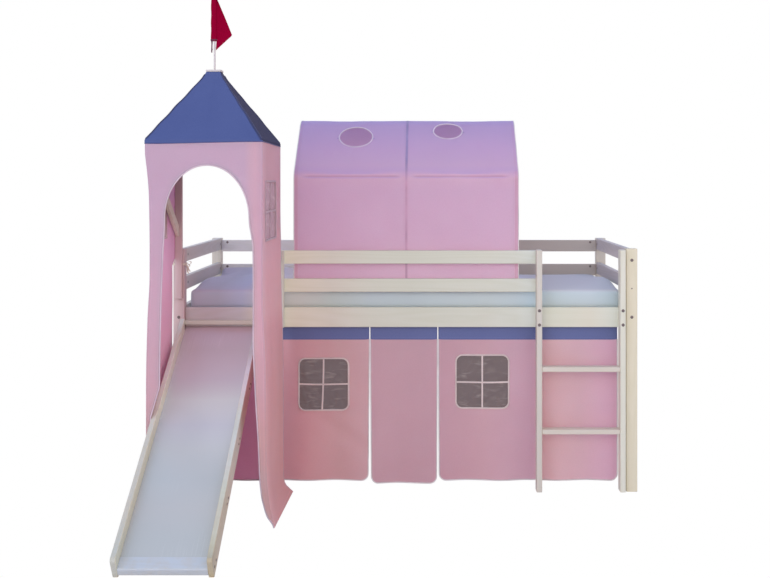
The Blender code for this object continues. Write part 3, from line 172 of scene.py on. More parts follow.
def mix_colour(tree, share, first, second, blend="MIX"):
    """Mix of two colours, each a socket or a colour."""
    return add_node(tree, "Mix", ((0, share), (6, first), (7, second)),
                    data_type="RGBA", blend_type=blend).outputs[2]


def new_group(name, vectors, numbers, results):
    """Empty shader group with its vector inputs, its number inputs and its results."""
    group = bpy.data.node_groups.new(name, "ShaderNodeTree")
    for socket in vectors:
        group.interface.new_socket(socket, in_out="INPUT", socket_type="NodeSocketVector")
    for socket, value in numbers.items():
        made = group.interface.new_socket(socket, in_out="INPUT", socket_type="NodeSocketFloat")
        made.default_value = value
    for socket in results:
        group.interface.new_socket(socket, in_out="OUTPUT", socket_type="NodeSocketFloat")
    return group, group.nodes.new("NodeGroupInput").outputs, group.nodes.new("NodeGroupOutput").inputs


def build_weave_group():
    """Plain weave, with slubs in the yarn and uneven dye. The vector is in metres along the cloth."""
    group, given, made = new_group("plain weave", ["Vector"], {"Threads": 330.0}, ["Tone", "Height"])
    vector = given["Vector"]
    warp = wave_node(group, vector, given["Threads"], "X", 0.4)
    weft = wave_node(group, vector, given["Threads"], "Y", 0.4)
    slub = noise_node(group, scaled(group, vector, (40, 900, 40)), 1.0, 1.0)
    height = math_node(group, "MULTIPLY_ADD", slub, 0.5, math_node(group, "MAXIMUM", warp, weft))
    dye = noise_node(group, vector, 3.0, 3.0, 0.6)
    fibre = noise_node(group, vector, 160.0, 2.0, 0.7)
    tone = math_node(group, "MULTIPLY_ADD", fibre, 0.45, math_node(group, "MULTIPLY", dye, 0.55))
    feed(group, made["Tone"], range_node(group, tone, 0.3, 0.7))
    feed(group, made["Height"], height)
    return group


def build_stitch_group():
    """Row of stitches that runs along the cloth's edge, at an inset from it."""
    group, given, made = new_group("hem stitches", ["Edge"], {"Inset": 0.009}, ["Stitch", "Fold"])
    inwards, along_edge, _ = parts_of(group, given["Edge"])
    line = range_node(group, apart(group, inwards, given["Inset"]), 0.0005, 0.0009, 1.0, 0.0)
    beat = math_node(group, "FRACT", math_node(group, "MULTIPLY", along_edge, 280.0))
    dash = range_node(group, apart(group, beat, 0.5), 0.3, 0.38, 1.0, 0.0)
    feed(group, made["Stitch"], math_node(group, "MULTIPLY", line, dash))
    hem = math_node(group, "SUBTRACT", given["Inset"], inwards)
    feed(group, made["Fold"], range_node(group, hem, 0.0, 0.0015))
    return group


def build_grain_group():
    """Pine whose grain runs along the vector's X: streaks, growth rings and a few knots."""
    group, given, made = new_group("pine grain", ["Vector"], {}, ["Streak", "Knot", "Height"])
    vector = given["Vector"]
    fibres = noise_node(group, scaled(group, vector, (5, 420, 420)), 1.0, 3.0, 0.6)
    figure = noise_node(group, scaled(group, vector, (0.7, 9, 9)), 1.0, 1.0)
    bands = math_node(group, "FRACT", math_node(group, "MULTIPLY", figure, 16.0))
    rings = math_node(group, "ABSOLUTE", math_node(group, "MULTIPLY_ADD", bands, 2.0, -1.0))
    cells = add_node(group, "TexVoronoi", {"Vector": scaled(group, vector, (1.7, 11.0, 11.0)), "Scale": 1.0})
    feed(group, made["Streak"],
         math_node(group, "MULTIPLY_ADD", rings, 0.4, math_node(group, "MULTIPLY", fibres, 0.6)))
    feed(group, made["Knot"], range_node(group, cells.outputs["Distance"], 0.03, 0.09, 1.0, 0.0))
    feed(group, made["Height"], fibres)
    return group


def build_wear_group():
    """Rubbed paint on the planed-off edges, found by the faces that lie across the timber's own faces."""
    group, given, made = new_group("edge wear", ["Normal", "Vector"], {}, ["Wear"])
    absolute = add_node(group, "VectorMath", {0: given["Normal"]}, operation="ABSOLUTE").outputs[0]
    x, y, z = parts_of(group, absolute)
    largest = math_node(group, "MAXIMUM", x, math_node(group, "MAXIMUM", y, z))
    across = range_node(group, largest, 0.80, 0.93, 1.0, 0.0)
    patches = range_node(group, noise_node(group, given["Vector"], 22.0, 4.0, 0.65), 0.42, 0.62)
    feed(group, made["Wear"], math_node(group, "MULTIPLY", across, patches))
    return group


weave_group = build_weave_group()
stitch_group = build_stitch_group()
grain_group = build_grain_group()
wear_group = build_wear_group()


# Materials

def use_group(tree, group, values):
    """Results of a group in a material."""
    return add_node(tree, "Group", values, node_tree=group).outputs


def new_material(name, values):
    """Material with its plain values set on the shader: the material, its tree and the shader's sockets."""
    material = bpy.data.materials.new(name)
    material.use_nodes = True
    tree = material.node_tree
    sockets = tree.nodes["Principled BSDF"].inputs
    for socket, value in values.items():
        sockets[socket].default_value = value
    return material, tree, sockets


def two_toned(tree, sockets, share, first, second):
    """Base colour between two display colours."""
    feed(tree, sockets["Base Color"], mix_colour(tree, share, display(*first), display(*second)))


def add_bump(tree, sockets, height, strength, distance):
    """Bump from a height to the shader's normal."""
    bump = add_node(tree, "Bump", {"Strength": strength, "Distance": distance, "Height": height})
    feed(tree, sockets["Normal"], bump.outputs["Normal"])


def with_painted_light(material, change):
    """Material whose colour goes through change(tree, colour) on its way to the shader, to paint light and
    shade into it.
    """
    tree = material.node_tree
    base = tree.nodes["Principled BSDF"].inputs["Base Color"]
    feed(tree, base, change(tree, base.links[0].from_socket))
    return material


def facing(tree, axis, low, high):
    """Share of a surface's turn towards an axis of the room, 0 to 1 between low and high."""
    normal = add_node(tree, "NewGeometry").outputs["Normal"]
    return range_node(tree, parts_of(tree, normal)[axis], low, high)


def painted_tint_by_facing(material, axis, low, high, colour):
    """Painted light and shade: a colour that grows on the sides of a cloth that face along an axis of the
    room.
    """
    return with_painted_light(material, lambda tree, dyed: mix_colour(
        tree, facing(tree, axis, low, high), dyed, display(*colour)))


def painted_light_facing(material, axis, low, high, shares):
    """Painted light and shade: the colour changed by shares of red, green and blue on the sides that face
    along an axis of the room.
    """
    return with_painted_light(material, lambda tree, dyed: mix_colour(
        tree, facing(tree, axis, low, high), dyed, mix_colour(tree, 1.0, dyed, (*shares, 1), "MULTIPLY")))


def painted_light_along(material, axis, *stops):
    """Painted light and shade that change the colour along an axis of the room; a stop is a place and its
    shares of red, green and blue.
    """
    def change(tree, dyed):
        place = parts_of(tree, object_place(tree))[axis]
        tone = (*stops[0][1:], 1)
        for (start, *_), (end, *shares) in zip(stops, stops[1:]):
            tone = mix_colour(tree, range_node(tree, place, start, end), tone, (*shares, 1))
        return mix_colour(tree, 1.0, dyed, tone, "MULTIPLY")
    return with_painted_light(material, change)


def painted_light_backwards(material, *stops):
    """Painted light and shade that change the colour from front to back; a stop is a reach and its shares of
    red, green and blue.
    """
    return painted_light_along(material, 1, *[(front(reach), *shares) for reach, *shares in stops])


def painted_pine(name, colour, turn=(0, 0, 0), roughness=0.42, depth=0.45, painted_shade_right=None):
    """Pine under thin white paint; turn brings the grain to X, and a last colour, where given, is painted
    shade that darkens it towards the right.
    """
    material, tree, sockets = new_material(name, {})
    place = object_place(tree)
    grain = use_group(tree, grain_group, {"Vector": turned(tree, place, turn)})
    darker = [value * (1 - share * depth) for value, share in zip(colour, (0.045, 0.045, 0.08))]
    streak = range_node(tree, grain["Streak"], 0.25, 0.75)
    paint = mix_colour(tree, streak, display(*darker), display(*colour))
    # Painted shade towards the right.
    if painted_shade_right:
        rightwards = range_node(tree, parts_of(tree, place)[0], -0.55, 0.30)
        paint = mix_colour(tree, rightwards, paint, display(*painted_shade_right))
    knot = math_node(tree, "MULTIPLY", grain["Knot"], 0.16 * depth)
    knotted = mix_colour(tree, knot, paint, display(186, 160, 128))
    normal = add_node(tree, "NewGeometry").outputs["True Normal"]
    wear = use_group(tree, wear_group, {"Normal": normal, "Vector": place})["Wear"]
    feed(tree, sockets["Base Color"],
         mix_colour(tree, math_node(tree, "MULTIPLY", wear, 0.35), knotted, display(214, 194, 158)))
    plain = range_node(tree, grain["Streak"], 0.2, 0.8, roughness + 0.05, roughness - 0.04)
    feed(tree, sockets["Roughness"], math_node(tree, "MULTIPLY_ADD", wear, 0.18, plain))
    add_bump(tree, sockets, grain["Height"], 0.12, 0.0006)
    return material


def cotton(name, colour, second, inset=0.009, stitched=True, sheen=0.06, threads=330.0, translucency=0.7,
           scatter=0.004, hem=None):
    """Woven cotton with a hem; second is the colour where the dye is thinner."""
    material, tree, sockets = new_material(name, {
        "Roughness": 0.9, "Sheen Weight": sheen, "Sheen Roughness": 0.5, "Specular IOR Level": 0.25,
        "Subsurface Weight": translucency, "Subsurface Scale": scatter,
        "Subsurface Radius": (1.0, 0.75, 0.85)})
    weave = use_group(tree, weave_group, {"Threads": threads, "Vector": uv_map(tree, "cloth")})
    dyed = mix_colour(tree, weave["Tone"], display(*colour), display(*second))
    height = weave["Height"]
    if stitched:
        hemline = use_group(tree, stitch_group, {"Inset": inset, "Edge": uv_map(tree, "edge")})
        fold, stitch = hemline["Fold"], hemline["Stitch"]
        # A given hem colour is painted light: the deeper tone that light through the doubled hem gives it.
        folded = hem or [value * 0.86 for value in colour]
        doubled = math_node(tree, "MULTIPLY", fold, 0.4 if hem else 0.10)
        dyed = mix_colour(tree, doubled, dyed, display(*folded))
        thread = [min(value * 1.14, 255) for value in second]
        dyed = mix_colour(tree, math_node(tree, "MULTIPLY", stitch, 0.5), dyed, display(*thread))
        height = math_node(tree, "SUBTRACT", math_node(tree, "MULTIPLY_ADD", fold, 1.5, height), stitch)
    feed(tree, sockets["Base Color"], dyed)
    add_bump(tree, sockets, height, 0.35, 0.0004)
    return material


def tower_cotton(name, upper, lower):
    """Pink tower cloth, with painted light and shade that make it warmer towards its foot."""
    material = cotton(name, upper, [value + 8 for value in upper])
    shares = [new / old for new, old in zip(display(*lower)[:3], display(*upper))]
    return painted_light_along(material, 2, (0.4, *shares), (1.35, 1, 1, 1))


def tunnel_cotton():
    """Pink cover, with painted light that makes it cooler on its slopes, a painted shade line along the
    crease that is pressed in below each slope, and a hem colour that is painted light of the doubled cloth.
    """
    def crease_shade(tree, dyed):
        x, _, z = parts_of(tree, object_place(tree))
        # Painted shade: a darker line along the crease, away from the seam and the ends.
        line = range_node(tree, apart(tree, z, CREASE_Z), 0.001, 0.006, 1.0, 0.0)
        off_middle = math_node(tree, "ABSOLUTE", x)
        inside = math_node(tree, "MULTIPLY", range_node(tree, off_middle, 0.02, 0.05),
                           range_node(tree, off_middle, 0.44, 0.48, 1.0, 0.0))
        crease_shade_share = math_node(tree, "MULTIPLY", math_node(tree, "MULTIPLY", line, inside), 0.32)
        return mix_colour(tree, crease_shade_share, dyed, display(150, 108, 140))
    material = cotton("tunnel cotton", (217, 174, 191), (225, 184, 200), 0.018, scatter=0.008,
                      hem=(214, 152, 164))
    # Painted light: a cooler colour on the upward-facing slopes.
    return with_painted_light(painted_tint_by_facing(material, 2, 0.1, 1.0, (190, 158, 196)), crease_shade)


def binding(name, colour):
    """Folded edge tape: a tight weave that runs along and across its length."""
    material, tree, sockets = new_material(name, {"Roughness": 0.8, "Sheen Weight": 0.2})
    place = object_place(tree)
    soil = range_node(tree, noise_node(tree, place, 9.0, 3.0, 0.6), 0.3, 0.7)
    two_toned(tree, sockets, soil, [value * 0.9 for value in colour], colour)
    add_bump(tree, sockets, wave_node(tree, place, 260.0, "DIAGONAL", 0.5), 0.4, 0.0003)
    return material


def slide_sheet():
    """Smooth sliding face, with fine scratches down the slope and a faint haze."""
    material, tree, sockets = new_material("slide face", {})
    place = turned(tree, object_place(tree), (-SLIDE_SLOPE, 0, 0))
    scratches = noise_node(tree, scaled(tree, place, (1300, 3, 3)), 1.0, 1.0)
    haze = noise_node(tree, place, 2.2)
    two_toned(tree, sockets, range_node(tree, haze, 0.3, 0.7), (200, 196, 197), (205, 201, 201))
    scratched = range_node(tree, scratches, 0.5, 0.8)
    plain = range_node(tree, haze, 0.3, 0.7, 0.20, 0.27)
    feed(tree, sockets["Roughness"], math_node(tree, "MULTIPLY_ADD", scratched, 0.03, plain))
    add_bump(tree, sockets, scratches, 0.005, 0.0001)
    return material


def slatted_base():
    """Bare pine slats; the two straps under them are dark webbing."""
    material, tree, sockets = new_material("slats and straps", {"Roughness": 0.62})
    place = object_place(tree)
    grain = use_group(tree, grain_group, {"Vector": turned(tree, place, ACROSS)})
    wood = mix_colour(tree, grain["Streak"], display(196, 164, 118), display(222, 196, 154))
    knotted = mix_colour(tree, math_node(tree, "MULTIPLY", grain["Knot"], 0.8), wood, display(126, 84, 50))
    low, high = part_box("slat_base")
    _, y, z = parts_of(tree, place)
    off_strap = apart(tree, apart(tree, y, (low.y + high.y) / 2), (high.y - low.y) / 2 - STRAP_INSET)
    strap = math_node(tree, "MULTIPLY", math_node(tree, "LESS_THAN", off_strap, 0.0127),
                      math_node(tree, "LESS_THAN", z, low.z + 0.0012))
    webbing = mix_colour(tree, wave_node(tree, place, 120.0, "Y"), display(58, 58, 62), display(84, 84, 88))
    feed(tree, sockets["Base Color"], mix_colour(tree, strap, knotted, webbing))
    add_bump(tree, sockets, grain["Height"], 0.3, 0.0006)
    return material


def clear_film(name, dull, crease_highlight, cover=0.84, crumple=0.35):
    """Clear window film, crumpled and nearly opaque: its colour is partly the film's own grey and partly
    painted light and shade of the space behind it, and its creases carry a painted highlight.
    """
    material, tree, sockets = new_material(name, {"Roughness": 0.22})
    creases = noise_node(tree, scaled(tree, object_place(tree), (1, 1, 4.0)), 13.0, 2.0, 0.5, 0.3)
    sharp = range_node(tree, creases, 0.56, 0.72)
    # Painted highlight on the creases.
    two_toned(tree, sockets, sharp, dull, crease_highlight)
    feed(tree, sockets["Alpha"], range_node(tree, sharp, 0.0, 1.0, cover, cover + 0.06))
    add_bump(tree, sockets, creases, crumple, 0.006)
    return material


def fastener(name, colour, roughness):
    """Zinc-plated steel with a fine turned grain."""
    material, tree, sockets = new_material(name, {"Metallic": 0.9})
    blotches = noise_node(tree, object_place(tree), 420.0, 3.0, 0.6)
    two_toned(tree, sockets, blotches, [value * 0.8 for value in colour], colour)
    feed(tree, sockets["Roughness"], range_node(tree, blotches, 0.3, 0.7, roughness - 0.08, roughness + 0.1))
    return material


def hoop_rod():
    """Glass-fibre rod, with faint lengthwise fibres."""
    material, tree, sockets = new_material("hoop rod", {"Roughness": 0.35})
    fibres = noise_node(tree, scaled(tree, object_place(tree), (1500, 60, 60)), 1.0)
    two_toned(tree, sockets, fibres, (206, 206, 198), (232, 232, 226))
    add_bump(tree, sockets, fibres, 0.1, 0.0002)
    return material


def hook_tape():
    """Loop side of a hook tape: a short dense pile."""
    material, tree, sockets = new_material("loop tape", {"Roughness": 0.95, "Sheen Weight": 0.5})
    pile = noise_node(tree, object_place(tree), 900.0, 2.0, 0.8)
    two_toned(tree, sockets, pile, (92, 90, 130), (140, 138, 172))
    add_bump(tree, sockets, pile, 0.8, 0.0008)
    return material


CREASE_Z = 1.428
STRAP_INSET = 0.0925
ACROSS, UPRIGHT, SLOPING = (0, 0, pi / 2), (0, pi / 2, 0), (-SLIDE_SLOPE, 0, pi / 2)
BRACE_SLOPE = radians(58)
WOOD = (220, 216, 200)
# The walls' lower colour is painted light and shade towards the foot.
WALL_UPPER, WALL_LOWER = (208, 154, 162), (236, 164, 157)
PLAIN = (1.0, 1.0, 1.0)

# Painted light: the left slide board is lighter on its side that faces right, and its tone changes from front
# to back as the light on it does.
pine_slide = painted_light_facing(painted_pine("painted pine slide", (216, 208, 196), SLOPING, 0.4),
                           0, 0.3, 0.8, (1.20, 1.20, 1.10))
painted_light_backwards(pine_slide, (1.14, 1.0, 1.06, 1.0), (1.00, 1.08, 1.08, 1.0), (0.60, 1.05, 1.08, 1.01),
                 (0.52, 1.20, 1.25, 1.20), (0.46, 1.28, 1.38, 1.33), (0.30, 1.20, 1.26, 1.32),
                 (0.17, 1.10, 1.18, 1.18))
# Painted light: the right slide board is bluer on its upward faces, and lighter and darker in turn from front
# to back.
pine_outer = painted_light_facing(painted_pine("painted pine right board", (236, 226, 208), SLOPING, 0.4),
                           2, 0.5, 0.8, (0.94, 1.03, 1.14))
painted_light_backwards(pine_outer, (1.17, 0.74, 0.68, 0.53), (1.13, 0.88, 0.81, 0.61), (1.07, 0.94, 0.88, 0.71),
                 (1.00, 0.95, 0.88, 0.72), (0.90, 0.95, 0.94, 0.79), (0.81, 1.0, 0.97, 0.89),
                 (0.62, 0.95, 0.98, 0.95), (0.52, 0.99, 1.05, 1.0), (0.41, 1.13, 1.10, 1.22),
                 (0.30, 1.05, 1.05, 1.22), (0.20, 0.79, 0.79, 0.90))
# Painted light and shade along the front rails: darker inside the tower, and lighter beside the tower wall,
# beside the ladder and towards the right end.
pine_front = painted_light_along(
    painted_pine("painted pine front rails", WOOD), 0,
    (-0.95, 0.90, 0.84, 0.97), (-0.86, 0.86, 0.81, 0.96), (-0.75, 0.90, 0.92, 1.10),
    (-0.60, 1.32, 1.31, 1.17), (-0.51, 1.31, 1.30, 1.16), (-0.34, 1.11, 1.09, 1.03),
    (-0.16, 1.02, 1.06, 1.0), (0.02, 0.97, 1.01, 0.95), (0.38, 1.02, 1.05, 1.0), (0.50, 1.03, 1.08, 1.05),
    (0.57, 1.09, 1.18, 1.20), (0.65, 1.09, 1.12, 1.03), (0.84, 1.14, 1.12, 1.04), (0.94, 1.13, 1.19, 1.18))
# Painted light and shade on the slide's face, pinker near its top and changing from front to back.
slide_finish = painted_light_backwards(
    slide_sheet(), (1.04, 1.01, 1.06, 0.955), (0.92, 1.05, 1.075, 0.97), (0.79, 1.0, 1.075, 1.0),
    (0.65, 1.04, 1.115, 1.045), (0.53, 1.03, 1.105, 1.12), (0.40, 1.19, 1.30, 1.24), (0.29, 1.12, 1.07, 1.11),
    (0.21, 1.11, 1.0, 1.03), (0.12, 1.05, 0.91, 0.92), (0.02, 1.07, 0.88, 0.93))
# Painted light and shade on the tunnel: lighter on the downward-facing inner faces, lighter low on the walls,
# and darker and cooler towards the top.
tunnel_pink = painted_light_along(
    painted_light_facing(tunnel_cotton(), 2, -0.1, -0.5, (1.13, 1.20, 1.35)), 2,
    (0.95, 1.14, 1.10, 1.10), (1.10, 1.05, 1.02, 1.02), (1.36, 0.97, 0.975, 1.01), (1.43, *PLAIN),
    (1.48, 1.05, 1.05, 0.957), (1.56, 0.96, 0.975, 0.96), (1.65, 0.81, 0.90, 0.945), (1.70, 0.78, 0.88, 0.94))
# Painted light and shade on the front cloth: warmer and redder near its right corner, and lighter near its
# foot.
tower_pink = painted_light_along(
    tower_cotton("tower cotton", (206, 174, 190), (214, 173, 176)), 0,
    (TOWER_RIGHT - 0.075, *PLAIN), (TOWER_RIGHT - 0.050, 1.08, 1.02, 0.96),
    (TOWER_RIGHT - 0.030, 1.13, 1.02, 0.95), (TOWER_RIGHT - 0.002, 1.04, 0.96, 0.93))
painted_light_along(tower_pink, 2, (0.09, 1.35, 1.20, 1.10), (0.20, 1.32, 1.28, 1.20), (0.28, 1.23, 1.14, 1.085),
             (0.40, 1.03, 0.99, 0.96), (0.55, *PLAIN))
# Painted light on the right wall: lighter towards its front edge and above its middle height.
wall_pink = painted_light_backwards(tower_cotton("tower wall cotton", WALL_UPPER, WALL_LOWER),
                             (0.568, 1.12, 1.22, 1.22), (0.44, *PLAIN), (0.10, 0.98, 1.03, 1.03))
painted_light_along(wall_pink, 2, (0.78, *PLAIN), (0.86, 1.10, 1.17, 1.13), (1.12, 1.09, 1.15, 1.11),
             (1.40, 1.10, 1.08, 1.05))
# Painted light on the left wall's inner face, which faces right.
left_wall_pink = painted_light_facing(tower_cotton("tower left wall cotton", WALL_UPPER, WALL_LOWER),
                               0, 0.2, 0.7, (1.13, 1.32, 1.60))
# Painted light and shade on the left curtain panel: its darker, redder colour is painted shade and pink light
# from the tower beside it, and it is lighter towards its left end behind the slide.
left_panel_pink = painted_light_along(
    cotton("left curtain cotton", (208, 160, 162), (216, 170, 171)), 0,
    (-0.70, 1.42, 1.23, 1.52), (-0.56, 1.15, 1.12, 1.12), (-0.42, 1.08, 1.12, 1.06),
    (-0.30, 1.03, 1.16, 1.08), (-0.20, 1.04, 1.19, 1.14))
# Painted light and shade across the door and right panels: darker by the door, and lighter beside the ladder
# and towards the right end.
curtain_pink = painted_light_along(
    cotton("curtain cotton", (208, 170, 173), (216, 179, 181)), 0,
    (-0.10, 0.95, 0.97, 0.975), (0.09, 0.91, 0.93, 0.945), (0.185, 0.93, 0.915, 0.935), (0.36, *PLAIN),
    (0.585, 1.02, 1.03, 1.115), (0.625, 1.20, 1.17, 1.09), (0.80, 1.12, 1.136, 1.14),
    (0.934, 1.137, 1.095, 1.227))
# Painted shade: the roof's right slope is darker and greyer.
roof_blue = painted_tint_by_facing(cotton("roof cotton", (80, 94, 144), (90, 104, 154), sheen=0, translucency=0),
                        0, 0.10, 0.45, (66, 66, 92))
band_blue = cotton("band cotton", (104, 113, 156), (113, 122, 165), sheen=0.05, translucency=0)
flag_red = cotton("flag cotton", (148, 0, 45), (156, 2, 50), 0.004, sheen=0, translucency=0)
flag_red.node_tree.nodes["Principled BSDF"].inputs["Specular IOR Level"].default_value = 0.04
pale_blue = cotton("pale blue sheet", (196, 206, 216), (208, 216, 224), stitched=False, sheen=0.15,
                   threads=420.0, translucency=0)
# Painted light and shade on the mattress sheet: a lilac tint on its top, darker inside the tower, and lighter
# beside the tower wall and the ladder.
sheet_finish = painted_light_along(
    painted_tint_by_facing(pale_blue, 2, 0.3, 0.9, (210, 204, 212)), 0,
    (-0.95, 0.93, 0.84, 0.87), (-0.86, 0.86, 0.82, 0.84), (-0.75, 0.93, 0.95, 1.05),
    (-0.60, 1.35, 1.25, 1.08), (-0.51, 1.35, 1.25, 1.06), (-0.34, 1.10, 1.14, 0.97),
    (-0.16, 1.04, 1.10, 1.02), (0.02, 1.0, 1.05, 0.97), (0.38, 1.07, 1.10, 1.0), (0.50, 1.07, 1.12, 1.05),
    (0.57, 1.11, 1.21, 1.18), (0.65, 1.03, 1.07, 0.95), (0.84, 1.06, 1.08, 0.99), (0.94, 1.0, 1.06, 0.98))
white_binding = binding("white binding", (242, 234, 228))
front_binding = binding("arch binding", (236, 212, 218))
frame_binding = binding("window binding", (236, 216, 206))
pink_binding = binding("pink binding", (222, 196, 200))
blue_binding = binding("blue binding", (80, 88, 140))
red_ribbon = binding("dark ribbon", (108, 44, 70))
# Painted shade: the seam tape is darker and cooler up the slopes.
seam_binding = painted_light_along(binding("seam binding", (218, 168, 190)), 2,
                            (1.40, *PLAIN), (1.50, 0.60, 0.78, 0.98), (1.69, 0.50, 0.70, 0.95))
ring_binding = binding("ring binding", (232, 216, 230))
stub_tape = binding("ring tie tape", (172, 156, 196))
ridge_binding = binding("roof seam binding", (62, 66, 104))
tape_cotton = binding("cotton tape", (236, 224, 204))
wall_binding = binding("wall window binding", (212, 180, 184))
# The films' first colours are partly painted light and shade of the space behind them; their second colours
# are painted highlights on the creases.
film_finish = clear_film("window film", (122, 104, 99), (150, 136, 128))
wall_film = clear_film("wall window film", (214, 184, 184), (224, 198, 194), 0.92, 0.12)
bolt_steel = fastener("bolt steel", (138, 126, 122), 0.38)
screw_steel = fastener("screw steel", (128, 102, 92), 0.4)

FRAME_FINISHES = [
    (painted_pine("painted pine along", WOOD),
     "beam_back slat_ledge_front slat_ledge_back slide_top_cleat slide_batten_upper slide_batten_middle "
     "slide_batten_lower tower_eave_front tower_eave_back"),
    (painted_pine("painted pine across", (218, 211, 202), ACROSS),
     "beam_left beam_right rail_left_top rail_left_mid tower_eave_left tower_eave_right "
     "tower_rafter_front_left tower_rafter_front_right tower_rafter_back_left tower_rafter_back_right"),
    (painted_pine("painted pine upright", (223, 216, 200), UPRIGHT),
     "post_back_left post_back_right upright_middle ladder_stile_left tower_upright_right"),
    (pine_slide, "slide_board_left"),
    (pine_outer, "slide_board_right"),
    (pine_front, "beam_front guard_front_top guard_front_mid"),
    # Painted light: the steps are a lighter, warmer copy of the paint.
    (painted_pine("painted pine steps", (229, 218, 199)), "ladder_step_lower ladder_step_upper"),
    # Painted light: the right stile is a lighter copy of the paint.
    (painted_pine("painted pine right stile", (237, 234, 213), UPRIGHT), "ladder_stile_right"),
    # Painted shade: the back rails darken towards the right.
    (painted_pine("painted pine back rails", (236, 230, 224), painted_shade_right=(198, 187, 174)),
     "guard_back_top guard_back_mid"),
    # Painted shade: the right end rails are a darker copy of the paint.
    (painted_pine("painted pine right end", (204, 196, 194), ACROSS), "rail_right_top rail_right_mid"),
    # Painted light: the braces are a lighter copy of the paint.
    (painted_pine("painted pine brace", (238, 228, 206), (0, BRACE_SLOPE, pi / 2)),
     "tower_brace_left tower_brace_right"),
    # Painted light: the left post and upright carry the pink light from the cloth beside them.
    (painted_pine("painted pine left post", (216, 190, 187), UPRIGHT), "post_front_left tower_upright_left"),
    # Painted light: the right post is a lighter copy of the paint.
    (painted_pine("painted pine right post", (239, 229, 199), UPRIGHT), "post_front_right"),
    (painted_pine("painted pine strip", (212, 216, 216), (0, 0, 0), 0.36, 0.3), "slide_end_strip"),
    (painted_pine("painted dowel", (218, 210, 208), UPRIGHT, 0.4), "tower_top_plate flag_pole"),
    (slatted_base(), "slat_base"),
    (slide_finish, "slide_panel"),
    (hoop_rod(), "tunnel_hoop_left tunnel_hoop_middle tunnel_hoop_right"),
    (hook_tape(), "curtain_tape"),
]


def paint_frame():
    """Give each bed, ladder, slide and tower piece of the frame its finish."""
    for finish, names in FRAME_FINISHES:
        for name in names.split():
            node = nodes[name]
            for slot in node.material_slots:
                slot.material = finish
            if not node.material_slots:
                node.data.materials.append(finish)


# Modelling helpers

OUTLINE_STEP = 0.02
CUTTER_DEPTH = 0.12


def deselect_all():
    """Nothing selected before the next primitive."""
    bpy.ops.object.select_all(action="DESELECT")


def activate(piece):
    """Select one piece alone."""
    deselect_all()
    piece.select_set(True)
    bpy.context.view_layer.objects.active = piece


def in_scene(name, data):
    """New object with its data, put into the scene."""
    made = bpy.data.objects.new(name, data)
    bpy.context.scene.collection.objects.link(made)
    return made


def named(name, finish):
    """Name the new primitive and give it its finish."""
    piece = bpy.context.object
    piece.name = name
    piece.data.name = name
    piece.data.materials.clear()
    piece.data.materials.append(finish)
    return piece


def start_edit(piece):
    """Open one piece for editing, with its whole mesh selected."""
    activate(piece)
    bpy.ops.object.mode_set(mode="EDIT")
    bpy.ops.mesh.select_all(action="SELECT")


def end_edit():
    """Back from editing."""
    bpy.ops.object.mode_set(mode="OBJECT")


def settle(piece):
    """Apply the piece's place and size to its mesh."""
    activate(piece)
    bpy.ops.object.transform_apply(location=True, rotation=True, scale=True)


def apply_modifiers(piece):
    """Make the piece's modifiers part of its mesh."""
    activate(piece)
    for modifier in list(piece.modifiers):
        bpy.ops.object.modifier_apply(modifier=modifier.name)


def modify(piece, name, kind, **settings):
    """Change a piece's mesh by a modifier."""
    modifier = piece.modifiers.new(name, kind)
    for setting, value in settings.items():
        setattr(modifier, setting, value)
    apply_modifiers(piece)


def smooth(piece, degrees=40):
    """Smooth shading with the real edges kept."""
    activate(piece)
    bpy.ops.object.shade_smooth_by_angle(angle=radians(degrees))


def cloth_grid(name, finish, columns, rows, size, shape, thickness=0.0012, closed=False, flat_at=None,
               edge_at=None, angle=60):
    """Cloth from a grid whose points shape(u, v) moves. Its maps hold its flat place and its edges."""
    deselect_all()
    bpy.ops.mesh.primitive_grid_add(x_subdivisions=columns, y_subdivisions=rows, size=1)
    piece = named(name, finish)
    mesh = piece.data
    width, length = size
    flat = [(vertex.co.x + 0.5, vertex.co.y + 0.5) for vertex in mesh.vertices]
    cloth = mesh.uv_layers.active
    cloth.name = "cloth"
    edge = mesh.uv_layers.new(name="edge")
    for loop in mesh.loops:
        u, v = flat[loop.vertex_index]
        x, y = flat_at(u, v) if flat_at else (u * width, v * length)
        cloth.data[loop.index].uv = (x, y)
        if edge_at:
            edge.data[loop.index].uv = edge_at(u, v)
            continue
        beside = 1.0 if closed else min(x, width - x)
        above = min(y, length - y)
        edge.data[loop.index].uv = (beside, y) if beside < above else (above, x)
    for vertex, (u, v) in zip(mesh.vertices, flat):
        vertex.co = shape(u, v)
    start_edit(piece)
    if closed:
        bpy.ops.mesh.remove_doubles(threshold=0.00005)
    bpy.ops.mesh.normals_make_consistent(inside=False)
    end_edit()
    modify(piece, "cloth thickness", "SOLIDIFY", thickness=thickness, offset=0)
    smooth(piece, angle)
    return piece


def cut_away(piece, cutter):
    """Cut one solid out of a piece and remove the cutter."""
    modify(piece, "opening", "BOOLEAN", operation="DIFFERENCE", solver="EXACT", object=cutter)
    bpy.data.objects.remove(cutter, do_unlink=True)


def window_outline(low, high, radius):
    """Points round an upright rectangle with rounded corners, as pairs of (across, z)."""
    points = []
    left, right = low[0] + radius, high[0] - radius
    foot, top = low[1] + radius, high[1] - radius
    for quarter, (x, z) in enumerate(((right, top), (left, top), (left, foot), (right, foot))):
        points += traced(6, lambda share: (x + radius * cos((quarter + share) * pi / 2),
                                           z + radius * sin((quarter + share) * pi / 2)))
    filled = []
    for start, end in zip(points, points[1:] + points[:1]):
        pieces = max(1, int(dist(start, end) / OUTLINE_STEP))
        filled += traced(pieces, lambda share: mixed(start, end, share))[:-1]
    return filled


